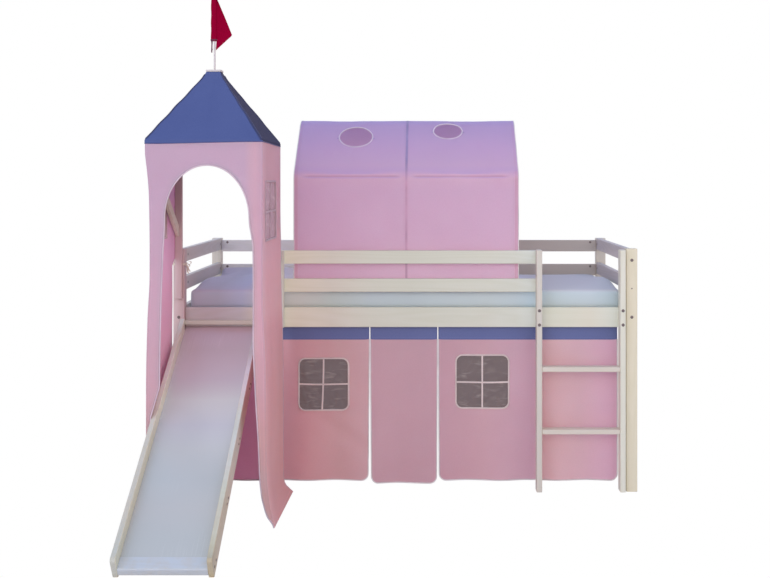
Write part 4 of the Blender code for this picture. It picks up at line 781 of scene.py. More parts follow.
def outline_cutter(points, place, depth_axis):
    """Prism through a cloth along an axis: place gives the point in space of an outline point."""
    deselect_all()
    bpy.ops.mesh.primitive_circle_add(vertices=len(points), radius=1, fill_type="NGON")
    cutter = bpy.context.object
    for vertex, point in zip(cutter.data.vertices, points):
        vertex.co = place(*point) - depth_axis * CUTTER_DEPTH / 2
    start_edit(cutter)
    bpy.ops.mesh.extrude_region_move(TRANSFORM_OT_translate={"value": depth_axis * CUTTER_DEPTH})
    bpy.ops.mesh.select_all(action="SELECT")
    bpy.ops.mesh.normals_make_consistent(inside=False)
    end_edit()
    return cutter


def tube(name, finish, points, radius, closed=False):
    """Round cord along points, made a mesh."""
    curve = bpy.data.curves.new(name, "CURVE")
    curve.dimensions = "3D"
    curve.bevel_depth = radius
    curve.bevel_resolution = 2
    curve.use_fill_caps = True
    line = curve.splines.new("POLY")
    line.points.add(len(points) - 1)
    for place, point in zip(line.points, points):
        place.co = (*point, 1)
    line.use_cyclic_u = closed
    activate(in_scene(name, curve))
    bpy.ops.object.convert(target="MESH")
    piece = named(name, finish)
    smooth(piece, 60)
    return piece


def ribbon(name, finish, points, sideways, width, thickness=0.0012):
    """Flat tape along points; sideways is the direction of its width."""
    def shape(u, v):
        place = v * (len(points) - 1)
        index = min(int(place), len(points) - 2)
        middle = points[index].lerp(points[index + 1], place - index)
        return middle + sideways.normalized() * (u - 0.5) * width
    length = sum((end - start).length for start, end in zip(points, points[1:]))
    return cloth_grid(name, finish, 2, max(4, (len(points) - 1) * 2), (width, length), shape, thickness)


def ride_all(pieces, body):
    """Fix pieces to a body of the frame."""
    for piece in pieces:
        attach(piece, body)


# Tower cloth

TOWER_REACH = 0.570
WALL_FORE_REACH = 0.5683
EAVE_Z = 1.5685
CLOTH_TOP_Z = 1.5682
FOOT_Z = 0.006
ARCH_X = -0.7906
ARCH_HALF_WIDTH = 0.171
ARCH_SPRING_Z = 1.2535
ARCH_RISE = 0.2175
ARCH_START, ARCH_END = 0.4, 0.6
ARCH_EDGE_LENGTH = 3.1
TOP_X, TOP_REACH = -0.808, 0.300
FREE_Z, HELD_Z = 1.03, 1.07
HEM_TURN, HEM_WIDTH = 0.2, 0.014
WINDOW_LOW, WINDOW_HIGH, WINDOW_BAR_Z = (0.173, 1.16), (0.494, 1.405), 1.279
# Each table below has pairs of a share of the eave's height and an inset or a spread there.
LEFT_CORNER_INSETS = (
    (0.000, 0.0020), (0.250, 0.0047), (0.359, 0.0047), (0.540, 0.0105), (0.650, 0.0190), (0.720, 0.0192),
    (0.854, 0.0165), (0.893, 0.0130), (0.925, 0.0080), (0.955, 0.0025), (0.972, 0.0000))
LEFT_STRIP_EDGES = ((0.000, 0.0588), (0.367, 0.0588), (0.540, 0.0644), (0.720, 0.0733), (0.800, 0.0794))
LEFT_REAR_SPREADS = ((0.000, 0.0080), (0.150, 0.0000))
RIGHT_CORNER_SPREADS = (
    (0.0038, 0.0495), (0.0115, 0.0473), (0.037, 0.0364), (0.076, 0.0263), (0.128, 0.0185), (0.215, 0.0158),
    (0.411, 0.0126), (0.510, 0.0060), (0.600, 0.0000))
RIGHT_REAR_SPREADS = (
    (0.0038, 0.0614), (0.013, 0.0450), (0.023, 0.0290), (0.036, 0.0195), (0.064, 0.0165), (0.215, 0.0160),
    (0.411, 0.0147), (0.590, 0.0079), (0.720, 0.0025), (0.820, 0.0000))
RIGHT_STRIP_EDGES = (
    (0.0038, 0.0460), (0.0094, 0.0440), (0.034, 0.0190), (0.060, 0.0060), (0.086, -0.0036), (0.143, -0.0125),
    (0.215, -0.0169), (0.359, -0.0294), (0.510, -0.0375), (0.640, -0.0378), (0.720, -0.0382),
    (0.743, -0.0415), (0.7992, -0.0536))


def along(table, share):
    """Value at a share of a table of pairs, on a smooth curve that never swings past them."""
    if share <= table[0][0]:
        return table[0][1]
    if share >= table[-1][0]:
        return table[-1][1]
    rises = [(after[1] - before[1]) / (after[0] - before[0]) for before, after in zip(table, table[1:])]
    slopes = [0.0] + [2 * left * right / (left + right) if left * right > 0 else 0.0
                      for left, right in zip(rises, rises[1:])] + [0.0]
    index = next(place for place in range(len(rises)) if share <= table[place + 1][0])
    (low, start), (high, end) = table[index], table[index + 1]
    part = (share - low) / (high - low)
    lean = part * (1 - part) * (high - low) * between(slopes[index], -slopes[index + 1], part)
    return between(start, end, part * part * (3 - 2 * part)) + lean


def left_outer_x(z):
    """Left edge of the front cloth."""
    return TOWER_LEFT + along(LEFT_CORNER_INSETS, z / EAVE_Z)


def right_outer_x(z):
    """Right edge of the front cloth."""
    return TOWER_RIGHT + along(RIGHT_CORNER_SPREADS, z / EAVE_Z)


def left_inner_x(z):
    """Piped inner edge of the left strip, narrow beside the slide board and rounded off at the foot."""
    above = min(max((z - 0.450) / 0.125, 0), 1)
    edge_x = TOWER_LEFT + between(0.022, along(LEFT_STRIP_EDGES, z / EAVE_Z), above)
    rise = min((z - FOOT_Z) / 0.110, 1)
    width = between(0.006, edge_x - left_outer_x(z), sqrt(max(1 - (1 - rise) ** 2, 0)))
    return left_outer_x(z) + width


def right_inner_x(z):
    """Piped inner edge of the right strip."""
    return TOWER_RIGHT + along(RIGHT_STRIP_EDGES, z / EAVE_Z)


def arch_edges(share):
    """Inner and outer edge, as (x, z), a share of the way from the left foot to the right foot."""
    if share < ARCH_START:
        z = between(FOOT_Z, ARCH_SPRING_Z, (share / ARCH_START) ** 1.3)
        return (left_inner_x(z), z), (left_outer_x(z), z)
    if share > ARCH_END:
        z = between(FOOT_Z, ARCH_SPRING_Z, ((1 - share) / ARCH_START) ** 1.3)
        return (right_inner_x(z), z), (right_outer_x(z), z)
    turn = (share - ARCH_START) / (ARCH_END - ARCH_START)
    angle = pi * (1 - turn)
    inner = (ARCH_X + ARCH_HALF_WIDTH * cos(angle), ARCH_SPRING_Z + ARCH_RISE * sin(angle))
    if turn < 0.25:
        z = between(ARCH_SPRING_Z, CLOTH_TOP_Z, turn * 4)
        return inner, (left_outer_x(z), z)
    if turn <= 0.75:
        return inner, (between(TOWER_LEFT, TOWER_RIGHT, (turn - 0.25) * 2), CLOTH_TOP_Z)
    z = between(CLOTH_TOP_Z, ARCH_SPRING_Z, turn * 4 - 3)
    return inner, (right_outer_x(z), z)


def front_point(u, share):
    """Point of the front cloth: its turned-in hem, then from HEM_TURN on across to its outer edge."""
    inner, outer = arch_edges(share)
    behind = 0
    if u < HEM_TURN:
        folded = 1 - u / HEM_TURN
        behind = 0.0015 * min(folded * 2, 1)
        u = folded * min(HEM_WIDTH / dist(inner, outer), 0.8)
    else:
        u = (u - HEM_TURN) / (1 - HEM_TURN)
    x, z = mixed(inner, outer, u)
    hanging = 1 - smooth_step(z, 1.05, 1.35)
    sway = 0.0035 * hanging * (1 - u) * sin(z * 9 + (0 if share < 0.5 else 2.1))
    pull = 0.0014 * (1 - smooth_step(z, 1.46, 1.53)) * ripple(x * 14, z * 5)
    return Vector((x, front(TOWER_REACH - 0.001 + sway + pull - behind), z))


def wall_rear(side, z):
    """Reach of a wall's rear edge, which hangs free below the guard rails."""
    return between(0.075 if side < 0 else 0.020, 0.0013, smooth_step(z, FREE_Z, HELD_Z))


def wall_x(side, reach, z):
    """X of a side wall's cloth."""
    outer_x, spreads, ease = ((left_outer_x, LEFT_REAR_SPREADS, 5) if side < 0
                              else (right_outer_x, RIGHT_REAR_SPREADS, 1))
    rear = wall_rear(side, z)
    rear_x = outer_x(EAVE_Z) - side * 0.001 + side * along(spreads, z / EAVE_Z)
    corner_x = outer_x(z) - side * 0.001
    across = min(max((reach - rear) / (WALL_FORE_REACH - rear), 0), 1)
    fold = 0.003 * sin(2 * pi * reach / 0.19) * sin(pi * across) * sin(pi * min(z / FREE_Z, 1))
    slack = (1 - smooth_step(z, 1.44, 1.52)) * smooth_step(reach, 0.02, 0.09)
    slack *= smooth_step(TOWER_REACH - reach, 0, 0.04) * smooth_step(z, 0, 0.2)
    creases = 0.0020 * ripple(reach * 9, z * 3.2, side) + 0.0009 * ripple(reach * 26, z * 11, side)
    return between(rear_x, corner_x, (max(reach, 0) / TOWER_REACH) ** ease) + side * fold + slack * creases


def framed_window(name, body, outline, surface, film, finish, bars, bar_width=0.008):
    """Piping round an opening, its film and its bars; surface(a, b, out) is a point off the cloth."""
    piping = tube(name + "_piping", finish, [surface(a, b, 0.0012) for a, b in outline], 0.0038, closed=True)
    low = [min(places) - 0.004 for places in zip(*outline)]
    high = [max(places) + 0.004 for places in zip(*outline)]

    def film_point(u, v):
        a, b = between(low[0], high[0], u), between(low[1], high[1], v)
        held = smooth_step(min(u, 1 - u, v, 1 - v), 0, 0.12)
        crumple = 0.0028 * held * ripple(a * 26, b * 17, len(name))
        crumple += 0.002 * held * (1 - v) * ripple(a * 60, b * 44, 4)
        return surface(a, b, -0.0016 - abs(crumple))
    pane = cloth_grid(name + "_film", film, 52, 44, (high[0] - low[0], high[1] - low[1]), film_point, 0.0004)
    trims = [piping]
    for index, points in enumerate(bars):
        line = [surface(a, b, 0.0016) for a, b in points]
        a, b = points[0]
        upright = abs(a - points[-1][0]) < abs(b - points[-1][1])
        beside = surface(a + 0.01, b, 0.0016) if upright else surface(a, b + 0.01, 0.0016)
        trims.append(ribbon(f"{name}_bar_{index + 1}", finish, line, beside - line[0], bar_width, 0.0016))
    ride_all([pane, *trims], body)


def build_front_cloth():
    """Front of the tower with its arch and two strips, piped along the arch and down both strips."""
    def flat(u, share):
        x, z = mixed(*arch_edges(share), abs(u - HEM_TURN) / (1 - HEM_TURN))
        return x - TOWER_LEFT, z

    def edge(u, share):
        u = abs(u - HEM_TURN) / (1 - HEM_TURN)
        return min(u, 1 - u) * dist(*arch_edges(share)), share * ARCH_EDGE_LENGTH
    cloth = cloth_grid("front_cloth", tower_pink, 15, 240, (0.1, ARCH_EDGE_LENGTH), front_point, flat_at=flat,
                       edge_at=edge)
    line = traced(240, lambda share: front_point(HEM_TURN, share) + Vector((0, -0.0004, 0)))
    piping = tube("front_cloth_piping", front_binding, line, 0.0026)
    ride_all([cloth, piping], "bed")
    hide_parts("tower_front_cloth")


def build_wall_cloth(name, side, node, finish):
    """Side wall with its film window, held by the upright above and free below."""
    def wall_point(u, v):
        z = between(FOOT_Z, CLOTH_TOP_Z, v)
        reach = between(wall_rear(side, z), WALL_FORE_REACH, u)
        return Vector((wall_x(side, reach, z), front(reach), z))

    def surface(reach, z, out):
        return Vector((wall_x(side, reach, z) + side * out, front(reach), z))
    cloth = cloth_grid(name, finish, 44, 110, (0.567, 1.562), wall_point)
    outline = window_outline(WINDOW_LOW, WINDOW_HIGH, 0.018)
    wall_at = TOWER_LEFT if side < 0 else TOWER_RIGHT
    cut_away(cloth, outline_cutter(outline, lambda reach, z: Vector((wall_at, front(reach), z)), RIGHT))
    middle = (WINDOW_LOW[0] + WINDOW_HIGH[0]) / 2
    bars = [traced(10, lambda share: (middle, between(WINDOW_LOW[1], WINDOW_HIGH[1], share))),
            traced(10, lambda share: (between(WINDOW_LOW[0], WINDOW_HIGH[0], share), WINDOW_BAR_Z))]
    framed_window(name + "_window", "bed", outline, surface, wall_film, wall_binding, bars)
    piping = tube(name + "_rear_piping", pink_binding, traced(110, lambda share: wall_point(0, share)), 0.002)
    ride_all([cloth, piping], "bed")
    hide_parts(node)


COLLAR_FOOT_HALF, COLLAR_TOP_HALF = 0.0458, 0.0290
COLLAR_FOOT_Z, COLLAR_TOP_Z = 1.839, 1.8702
LAP_TOP_Z = EAVE_Z + 0.006
LAP_SHARE, COLLAR_SHARE = 0.06, 0.9
ROOF_HEM_DROPS = (0.004, 0.007, 0.002, 0.010, 0.004)


def roof_point(u, v):
    """Point of the roof cover, u round its four sides and v up from the hem that laps over the walls."""
    place = (u % 1) * 4
    corner, share = int(place), place - int(place)
    spread = between(COLLAR_FOOT_HALF, COLLAR_TOP_HALF, min(max(v - COLLAR_SHARE, 0) / (1 - COLLAR_SHARE), 1))
    out = 0
    if v < LAP_SHARE:
        drop = between(ROOF_HEM_DROPS[corner], ROOF_HEM_DROPS[corner + 1], smooth_step(share, 0, 1))
        rise = 0
        z = between(EAVE_Z - drop + 0.0010 * ripple(u * 30, 3), LAP_TOP_Z, v / LAP_SHARE)
        out = 0.0008
    elif v < COLLAR_SHARE:
        rise = (v - LAP_SHARE) / (COLLAR_SHARE - LAP_SHARE)
        z = between(LAP_TOP_Z, COLLAR_FOOT_Z, rise)
    else:
        rise = 1
        z = between(COLLAR_FOOT_Z, COLLAR_TOP_Z, (v - COLLAR_SHARE) / (1 - COLLAR_SHARE))
    foot = (TOP_X - spread, TOP_X + spread, TOP_REACH - spread, TOP_REACH + spread)
    eave = (TOWER_LEFT - out, TOWER_RIGHT + out, -out, TOWER_REACH + out)
    left, right, rear, fore = [between(low, high, rise) for low, high in zip(eave, foot)]
    corners = [(left, rear), (right, rear), (right, fore), (left, fore), (left, rear)]
    x, reach = mixed(corners[corner], corners[corner + 1], share)
    face = sin(pi * rise)
    dip = 0.004 * face * sin(pi * share) + 0.0024 * face * ripple(x * 16, reach * 16, z * 6)
    near_ridge = bump_at(min(share, 1 - share), 0, 0.16)
    beside = corner if share < 0.5 else (corner + 1) % 4
    wavy = 0.0022 * face * near_ridge * (sin(z * 74 + beside * 2.2) * 0.6 + 1.2 * ripple(z * 24, beside))
    away = Vector((x - TOP_X, -(reach - TOP_REACH), 0)).normalized()
    return Vector((x, front(reach), z - dip)) + away * wavy


def build_roof():
    """Blue pyramid cover with wavy ridges and a steep collar round the top block."""
    cloth = cloth_grid("roof_cover", roof_blue, 112, 60, (2.09, 0.33), roof_point, closed=True, angle=85)
    hem = traced(112, lambda share: roof_point(share, 0))[:-1]
    piping = tube("roof_hem_binding", blue_binding, hem, 0.0016, closed=True)
    seams = [tube(f"roof_ridge_seam_{corner + 1}", ridge_binding,
                  traced(60, lambda share: roof_point(corner / 4, between(0.07, 0.96, share))), 0.0030)
             for corner in range(4)]
    ride_all([cloth, piping, *seams], "bed")
    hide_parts("tower_roof_cover")


# Flag

FLAG_TOP_Z, SLEEVE_FOOT_Z = 2.2300, 2.0030
FLAG_BEND, FLAG_BEND_REACH, FLAG_BEND_Z = 0.8, 0.0670, 2.0275
FLAG_TIP_Z = 1.9640


def flag_point(u, v):
    """Point of the pennant, u from the sleeve to the edge and v down the sleeve."""
    if v <= FLAG_BEND:
        reach = max(between(-0.0172, FLAG_BEND_REACH, v / FLAG_BEND), 0.0020)
        edge_z = between(FLAG_TOP_Z, FLAG_BEND_Z, v / FLAG_BEND)
    else:
        reach = between(FLAG_BEND_REACH, -0.0030, (v - FLAG_BEND) / (1 - FLAG_BEND))
        edge_z = between(FLAG_BEND_Z, FLAG_TIP_Z, (v - FLAG_BEND) / (1 - FLAG_BEND))
    x = between(0.0075, 0.0082 + reach, u)
    wave = 0.006 * sin(u * pi) * sin(v * pi) + 0.0035 * u * sin(v * 9.5 + u * 3)
    z = between(between(FLAG_TOP_Z, SLEEVE_FOOT_Z, v), edge_z, u)
    return Vector((TOP_X + x, front(TOP_REACH) + wave, z))


def build_flag():
    """Crimson pennant with a sleeve over the pole and a tie at the sleeve's foot."""
    pole = Vector((TOP_X, front(TOP_REACH), 0))

    def sleeve_point(u, v):
        angle = 2 * pi * u
        flat = between(0.0112, 0.0124, v) + 0.0006 * sin(v * 22)
        return pole + Vector((-0.0034 + flat * cos(angle), 0.0057 * sin(angle),
                              between(FLAG_TOP_Z, SLEEVE_FOOT_Z, v)))

    def loop_point(share):
        angle = 2 * pi * share
        return pole + Vector((-0.0034 + 0.0140 * cos(angle), 0.0068 * sin(angle), 2.0085))

    def tail(index, start, lean, drop):
        return ribbon(f"flag_tie_tail_{index}", red_ribbon, traced(8, lambda share: pole + Vector((
            -0.0024 + 0.0128 * cos(start) + lean * share + 0.0012 * sin(share * 5 + index - 1),
            0.0094 * sin(start) - 0.001 * share, 2.010 - drop * share))), Vector((1, 0.3, 0)), 0.005, 0.0009)
    pennant = cloth_grid("pennant", flag_red, 16, 48, (0.09, 0.24), flag_point, 0.0009)
    sleeve = cloth_grid("flag_sleeve", flag_red, 28, 30, (0.052, 0.227), sleeve_point, 0.0010, closed=True)
    wrap = ribbon("flag_tie_loop", red_ribbon, traced(24, loop_point), UP, 0.006, 0.0009)
    tails = [tail(1, -2.55, 0.003, 0.056), tail(2, -2.3, 0.002, 0.046)]
    ride_all([pennant, sleeve, wrap, *tails], "flag")
    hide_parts("flag")


# Tunnel

TUNNEL_LEFT_X, TUNNEL_RIGHT_X = -0.510, 0.516
SEAM_X = 0.0035
# A window has its name, its middle along the bed and up the slope's run, and its two half sizes.
TUNNEL_WINDOWS = [("left", -0.239, 0.206, 0.0780, 0.0725), ("right", 0.197, 0.240, 0.0675, 0.0560)]
SLOPE = radians(40.6)
SLOPE_NORMAL = Vector((0, -sin(SLOPE), cos(SLOPE)))
SLOPE_UP = SLOPE_NORMAL.cross(RIGHT).normalized()
WALL_Y = MIDDLE_Y - 0.4497
SHOULDER_Z = 1.440
TUNNEL_KNOTS = (0, 0.42, 0.50, 0.74, 0.86, 1)
TOP_TANGENT = 0.0446


def corner_curve(before, corner, after, tangent, share):
    """Point of a rounded corner that starts and ends a tangent's length from the corner."""
    start = corner + (before - corner).normalized() * tangent
    end = corner + (after - corner).normalized() * tangent
    return start.lerp(corner, share).lerp(corner.lerp(end, share), share)


def tunnel_point(x, share):
    """Point of the tunnel's cloth at a place along it, a share of the way from hem to hem."""
    slack = sin(2 * pi * min(max((x - TUNNEL_LEFT_X) / (TUNNEL_RIGHT_X - TUNNEL_LEFT_X), 0), 1)) ** 2
    side = -1 if share < 0.5 else 1
    up = 1 - abs(2 * share - 1)
    hem = Vector((-0.4482, 0.932))
    shoulder = Vector((-0.4482 + 0.003 * slack, 1.4394 - 0.007 * slack))
    slope_end = Vector((-0.1494, 1.6955 - 0.002 * slack))
    top = Vector((0, 1.7025 - 0.002 * slack))
    tangent = between(0.0276, 0.010, slack)
    part = next(index for index in range(5) if up <= TUNNEL_KNOTS[index + 1] + 1e-9)
    within = (up - TUNNEL_KNOTS[part]) / (TUNNEL_KNOTS[part + 1] - TUNNEL_KNOTS[part])
    towards = (slope_end - shoulder).normalized()
    if part == 0:
        place = hem.lerp(shoulder - Vector((0, tangent)), within)
    elif part == 1:
        place = corner_curve(hem, shoulder, slope_end, tangent, within)
    elif part == 2:
        place = (shoulder + towards * tangent).lerp(slope_end - towards * TOP_TANGENT, within)
    elif part == 3:
        place = corner_curve(shoulder, slope_end, top, TOP_TANGENT, within)
    else:
        place = (slope_end + (top - slope_end).normalized() * TOP_TANGENT).lerp(top, within)
    wrinkle = 0.0030 * ripple(x * 6.5, share * 11, 3) + 0.0012 * ripple(x * 21, share * 30, 8)
    if place.y > SHOULDER_Z:
        wrinkle -= 0.0030 * smooth_step(place.y, 1.44, 1.52) * abs(ripple(x * 3 + place.y * 2, share * 4, 5))
    wrinkle *= between(0.22, 1, slack)
    if place.y < 1.12:
        wrinkle = min(wrinkle, 0)
    wrinkle *= smooth_step(place.y, 0.95, 1.06)
    reach_in = smooth_step(0.51 - abs(x), 0.03, 0.07) * smooth_step(abs(x - SEAM_X), 0.02, 0.05)
    wrinkle -= 0.0045 * reach_in * bump_at(place.y, CREASE_Z, 0.010)
    off_slope = (-sin(SLOPE), cos(SLOPE))
    outwards = Vector(((-1, 0), off_slope, off_slope, (0, 1), (0, 1))[part])
    place = place + outwards * wrinkle
    return Vector((x, MIDDLE_Y - side * place.x, place.y))


def on_cloth(piece, point, direction, lift):
    """Where a line meets a cloth, lifted off it a little against the line's direction."""
    hit, place, _, _ = piece.ray_cast(point - direction * 0.1, direction)
    return (place if hit else point) - direction * lift


def seam_point(u, v):
    """Point of the tape over the middle seam, raised off the tunnel away from its inside."""
    point = tunnel_point(SEAM_X + between(-0.005, 0.005, u), v)
    return point + (point - Vector((point.x, MIDDLE_Y, 1.25))).normalized() * 0.0012


def build_tunnel():
    """Tunnel cover: two halves with a seam between them, hemmed ends and two piped round windows."""
    cloth = cloth_grid("tunnel_cloth", tunnel_pink, 96, 300, (1.02, 2.07),
                       lambda u, v: tunnel_point(between(TUNNEL_LEFT_X, TUNNEL_RIGHT_X, u), v), 0.0015)
    windows = []
    for name, x, run, wide, high in TUNNEL_WINDOWS:
        middle = Vector((x, WALL_Y + run, SHOULDER_Z + run * tan(SLOPE)))

        def on_slope(a, b):
            return middle + RIGHT * a + SLOPE_UP * b

        def beside(angle, room, lift=0.0011):
            return on_cloth(cloth, on_slope(cos(angle) * (wide + room), sin(angle) * (high + room)),
                            -SLOPE_NORMAL, lift)
        ring = traced(72, lambda share: beside(2 * pi * share, 0.001, 0.0005))[:-1]
        stubs = [(beside(turn, 0.0040), beside(turn, 0.0115)) for turn in (radians(188), radians(-8))]
        outline = traced(64, lambda share: (wide * cos(2 * pi * share), high * sin(2 * pi * share)))[:-1]
        windows.append((name, ring, stubs, outline_cutter(outline, on_slope, SLOPE_NORMAL)))
    trims = []
    for name, ring, stubs, cutter in windows:
        cut_away(cloth, cutter)
        trims.append(tube(f"tunnel_{name}_ring", ring_binding, ring, 0.0030, closed=True))
        for index, (start, end) in enumerate(stubs):
            tie = [start, start.lerp(end, 0.5) + SLOPE_NORMAL * 0.0012, end]
            trims.append(ribbon(f"tunnel_{name}_tie_{index + 1}", stub_tape, tie, SLOPE_UP, 0.006))
    trims.append(cloth_grid("tunnel_seam", seam_binding, 4, 150, (0.010, 2.07), seam_point, 0.0010))
    for name, x in (("left", TUNNEL_LEFT_X), ("right", TUNNEL_RIGHT_X)):
        end = traced(150, lambda share: tunnel_point(x, share))
        trims.append(tube(f"tunnel_{name}_end_piping", white_binding, end, 0.0022))
    ride_all([cloth, *trims], "bed")
    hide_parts("tunnel_cover")


# Curtain

CURTAIN_TOP_Z = 0.7408
BAND_FOOT_Z = 0.682
CURTAIN_Y = front(-0.0513)
PANEL_CORNER = 0.032
PIPING_START = 0.085
# A panel has its name, its left and right edge, its foot, how far the foot is drawn in at the left and right,
# its window's two corners or none, the places of the window's upright and level bar, and the upright's bow.
PANELS = [
    ("left", -0.9930, -0.1650, 0.039, 0, 0.006, ((-0.488, 0.3590), (-0.261, 0.5955)), -0.3745, 0.4790, 0.007),
    ("door", -0.1615, 0.1455, 0.026, 0.006, 0.004, None, 0, 0, 0),
    ("right", 0.1490, 0.9670, 0.039, 0.005, 0, ((0.230, 0.3680), (0.471, 0.6110)), 0.3505, 0.4880, 0),
]


def panel_point(panel, distance, drop, out=0.0):
    """Point of a curtain panel, a distance from its left edge and a share of the way down it."""
    name, left_x, right_x, foot_z, draw_left, draw_right = panel[:6]
    width = right_x - left_x
    lack = max(PANEL_CORNER - min(distance, width - distance), 0)
    foot = foot_z + PANEL_CORNER - sqrt(max(PANEL_CORNER ** 2 - lack ** 2, 0))
    z = between(CURTAIN_TOP_Z, foot, drop)
    x = left_x + distance + between(draw_left, -draw_right, distance / width) * drop
    soft = smooth_step(drop, 0.05, 0.35)
    fold = 0.016 * drop * (1 - cos(2 * pi * distance / 0.270)) / 2
    fold += 0.0040 * soft * ripple(x * 5.5, z * 3.5, 2) + 0.0014 * soft * ripple(x * 15, z * 9, 7)
    if name == "left":
        slant = bump_at((x + 0.36) * 0.55 + (z - 0.30) * 0.83, 0, 0.06)
        fold += 0.0070 * soft * slant * smooth_step(x, -0.46, -0.32) * (1 - smooth_step(z, 0.3, 0.4))
    return Vector((x, CURTAIN_Y + fold - out, z))


def panel_surface(panel, x, z, out):
    """Point of a panel at an x and a height, a distance off its face."""
    left_x, right_x, foot_z = panel[1:4]
    drop = (CURTAIN_TOP_Z - z) / (CURTAIN_TOP_Z - foot_z)
    distance = min(max(x - left_x, 0), right_x - left_x)
    for _ in range(3):
        distance += x - panel_point(panel, distance, drop).x
    return panel_point(panel, distance, drop, out)


def build_panel(panel):
    """Curtain panel with its blue band, its piped edge and, beside the door, its window of film."""
    name, left_x, right_x, foot_z, _, _, window, bar_x, bar_z, bow = panel
    body = "curtain_" + name
    width, height = right_x - left_x, CURTAIN_TOP_Z - foot_z

    def across(u):
        return width * (1 - cos(pi * u)) / 2

    def surface(x, z, out):
        return panel_surface(panel, x, z, out)

    def band_point(u, v):
        return surface(between(left_x + 0.001, right_x - 0.001, u),
                       between(BAND_FOOT_Z, CURTAIN_TOP_Z - 0.002, v), 0)
    columns = 64 if width > 0.5 else 40
    finish = left_panel_pink if name == "left" else curtain_pink
    cloth = cloth_grid(f"curtain_{name}_cloth", finish, columns, 60, (width, height),
                       lambda u, v: panel_point(panel, across(u), v),
                       flat_at=lambda u, v: (across(u), v * height))
    band = cloth_grid(f"curtain_{name}_band", band_blue, columns, 6, (width, 0.057), band_point, 0.0030)
    edge = traced(30, lambda share: panel_point(panel, 0, between(PIPING_START, 1, share)))
    edge += traced(columns, lambda share: panel_point(panel, across(share), 1))[1:-1]
    edge += traced(30, lambda share: panel_point(panel, width, between(1, PIPING_START, share)))
    trims = [band, tube(f"curtain_{name}_piping", white_binding, edge, 0.0028)]
    if window:
        low, high = window
        outline = window_outline(low, high, 0.030)
        cut_away(cloth, outline_cutter(outline, lambda x, z: Vector((x, CURTAIN_Y, z)), BACK))
        bars = [traced(10, lambda share: (bar_x - bow * (1 - share) ** 2, between(low[1], high[1], share))),
                traced(10, lambda share: (between(low[0], high[0], share), bar_z - 0.002 * sin(pi * share)))]
        framed_window(f"curtain_{name}_window", body, outline, surface, film_finish, frame_binding, bars,
                      bar_width=0.0075)
    ride_all([cloth, *trims], body)
    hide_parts(body)


# Mattress

MATTRESS_TOP_START = 0.06
SWELL_LIMIT = 0.006
SWELL_FRAMES = 20


def mattress_form(low, high):
    """Closed soft block that starts a little smaller than the cover's room."""
    middle, size = (low + high) / 2, high - low
    deselect_all()
    bpy.ops.mesh.primitive_cube_add(size=1, location=(middle.x, middle.y, low.z + 0.0475))
    piece = named("mattress_cover", sheet_finish)
    bpy.ops.transform.resize(value=(size.x - 0.004, size.y - 0.006, 0.0935))
    settle(piece)
    start_edit(piece)
    bpy.ops.mesh.bevel(offset=0.014, segments=3)
    end_edit()
    modify(piece, "even mesh", "REMESH", mode="VOXEL", voxel_size=0.0145)
    return piece


def swell(piece):
    """Blow the mattress up a little by a cloth simulation, and hold each point near where it began."""
    start = [vertex.co.copy() for vertex in piece.data.vertices]
    scene = bpy.context.scene
    cloth = piece.modifiers.new("swell", "CLOTH")
    settings = cloth.settings
    settings.use_pressure = True
    settings.uniform_pressure_force = 4
    settings.quality = 4
    settings.mass = 0.4
    settings.tension_stiffness = 12
    settings.compression_stiffness = 8
    settings.effector_weights.gravity = 0
    cloth.collision_settings.use_collision = False
    cloth.point_cache.frame_start = 1
    cloth.point_cache.frame_end = SWELL_FRAMES
    for number in range(1, SWELL_FRAMES + 1):
        scene.frame_set(number)
    apply_modifiers(piece)
    scene.frame_set(1)
    for vertex, began in zip(piece.data.vertices, start):
        moved = vertex.co - began
        if moved.length > SWELL_LIMIT:
            vertex.co = began + moved.normalized() * SWELL_LIMIT


def build_mattress():
    """Mattress in its sheet: swelled, then given its crown, its soft folds and its raised edges."""
    low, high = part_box("mattress")
    piece = mattress_form(low, high)
    swell(piece)
    modify(piece, "finer", "SUBSURF", levels=1, render_levels=1)
    for vertex in piece.data.vertices:
        place = vertex.co
        ends = min(place.x - low.x, high.x - place.x)
        back = place.y - low.y
        inner = min(ends, back, high.y - place.y)
        if place.z > low.z + MATTRESS_TOP_START:
            crown = 0.004 * smooth_step(inner, 0, 0.35)
            corner = max(1 - Vector((place.x + 0.86, place.y - 0.95)).length / 0.60, 0)
            slant = (place.x * 0.86 - place.y * 0.5) * 40
            folds = 0.0060 * corner * sin(slant + 1.5 * ripple(place.x * 4, place.y * 4))
            folds += 0.0022 * ripple(place.x * 5, place.y * 7) + 0.0008 * ripple(place.x * 17, place.y * 19)
            bunched = 0.030 * smooth_step(place.y, 0.93, 1.005) + 0.008 * smooth_step(place.y, 0.70, 0.95)
            bunched *= smooth_step(place.x, low.x - 0.03, low.x + 0.02)
            bunched *= 1 - smooth_step(place.x, -0.62, -0.38)
            place.z += (crown + smooth_step(inner, 0.01, 0.10) * folds
                        + bunched * (1 + 0.15 * ripple(place.x * 14, 2.0)))
            rim = (1 - smooth_step(ends, 0.02, 0.20)) * smooth_step(back, 0.05, 0.30)
            rim *= 1 - smooth_step(back, 0.38, 0.74)
            place.z += 0.026 * rim * smooth_step(place.z, low.z + MATTRESS_TOP_START, low.z + 0.10)
        place.x = min(max(place.x, low.x), high.x)
        place.y = min(max(place.y, low.y), high.y)
        place.z = max(place.z, low.z + 0.0002)
    smooth(piece, 60)
    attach(piece, "bed")
    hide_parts("mattress")


# Bolts, nuts, screws and tapes

FORWARDS, BACKWARDS = (0, -1, 0), (0, 1, 0)
BED_BACK_Y = FRONT_Y + BED_DEPTH
POST_X = 1.025


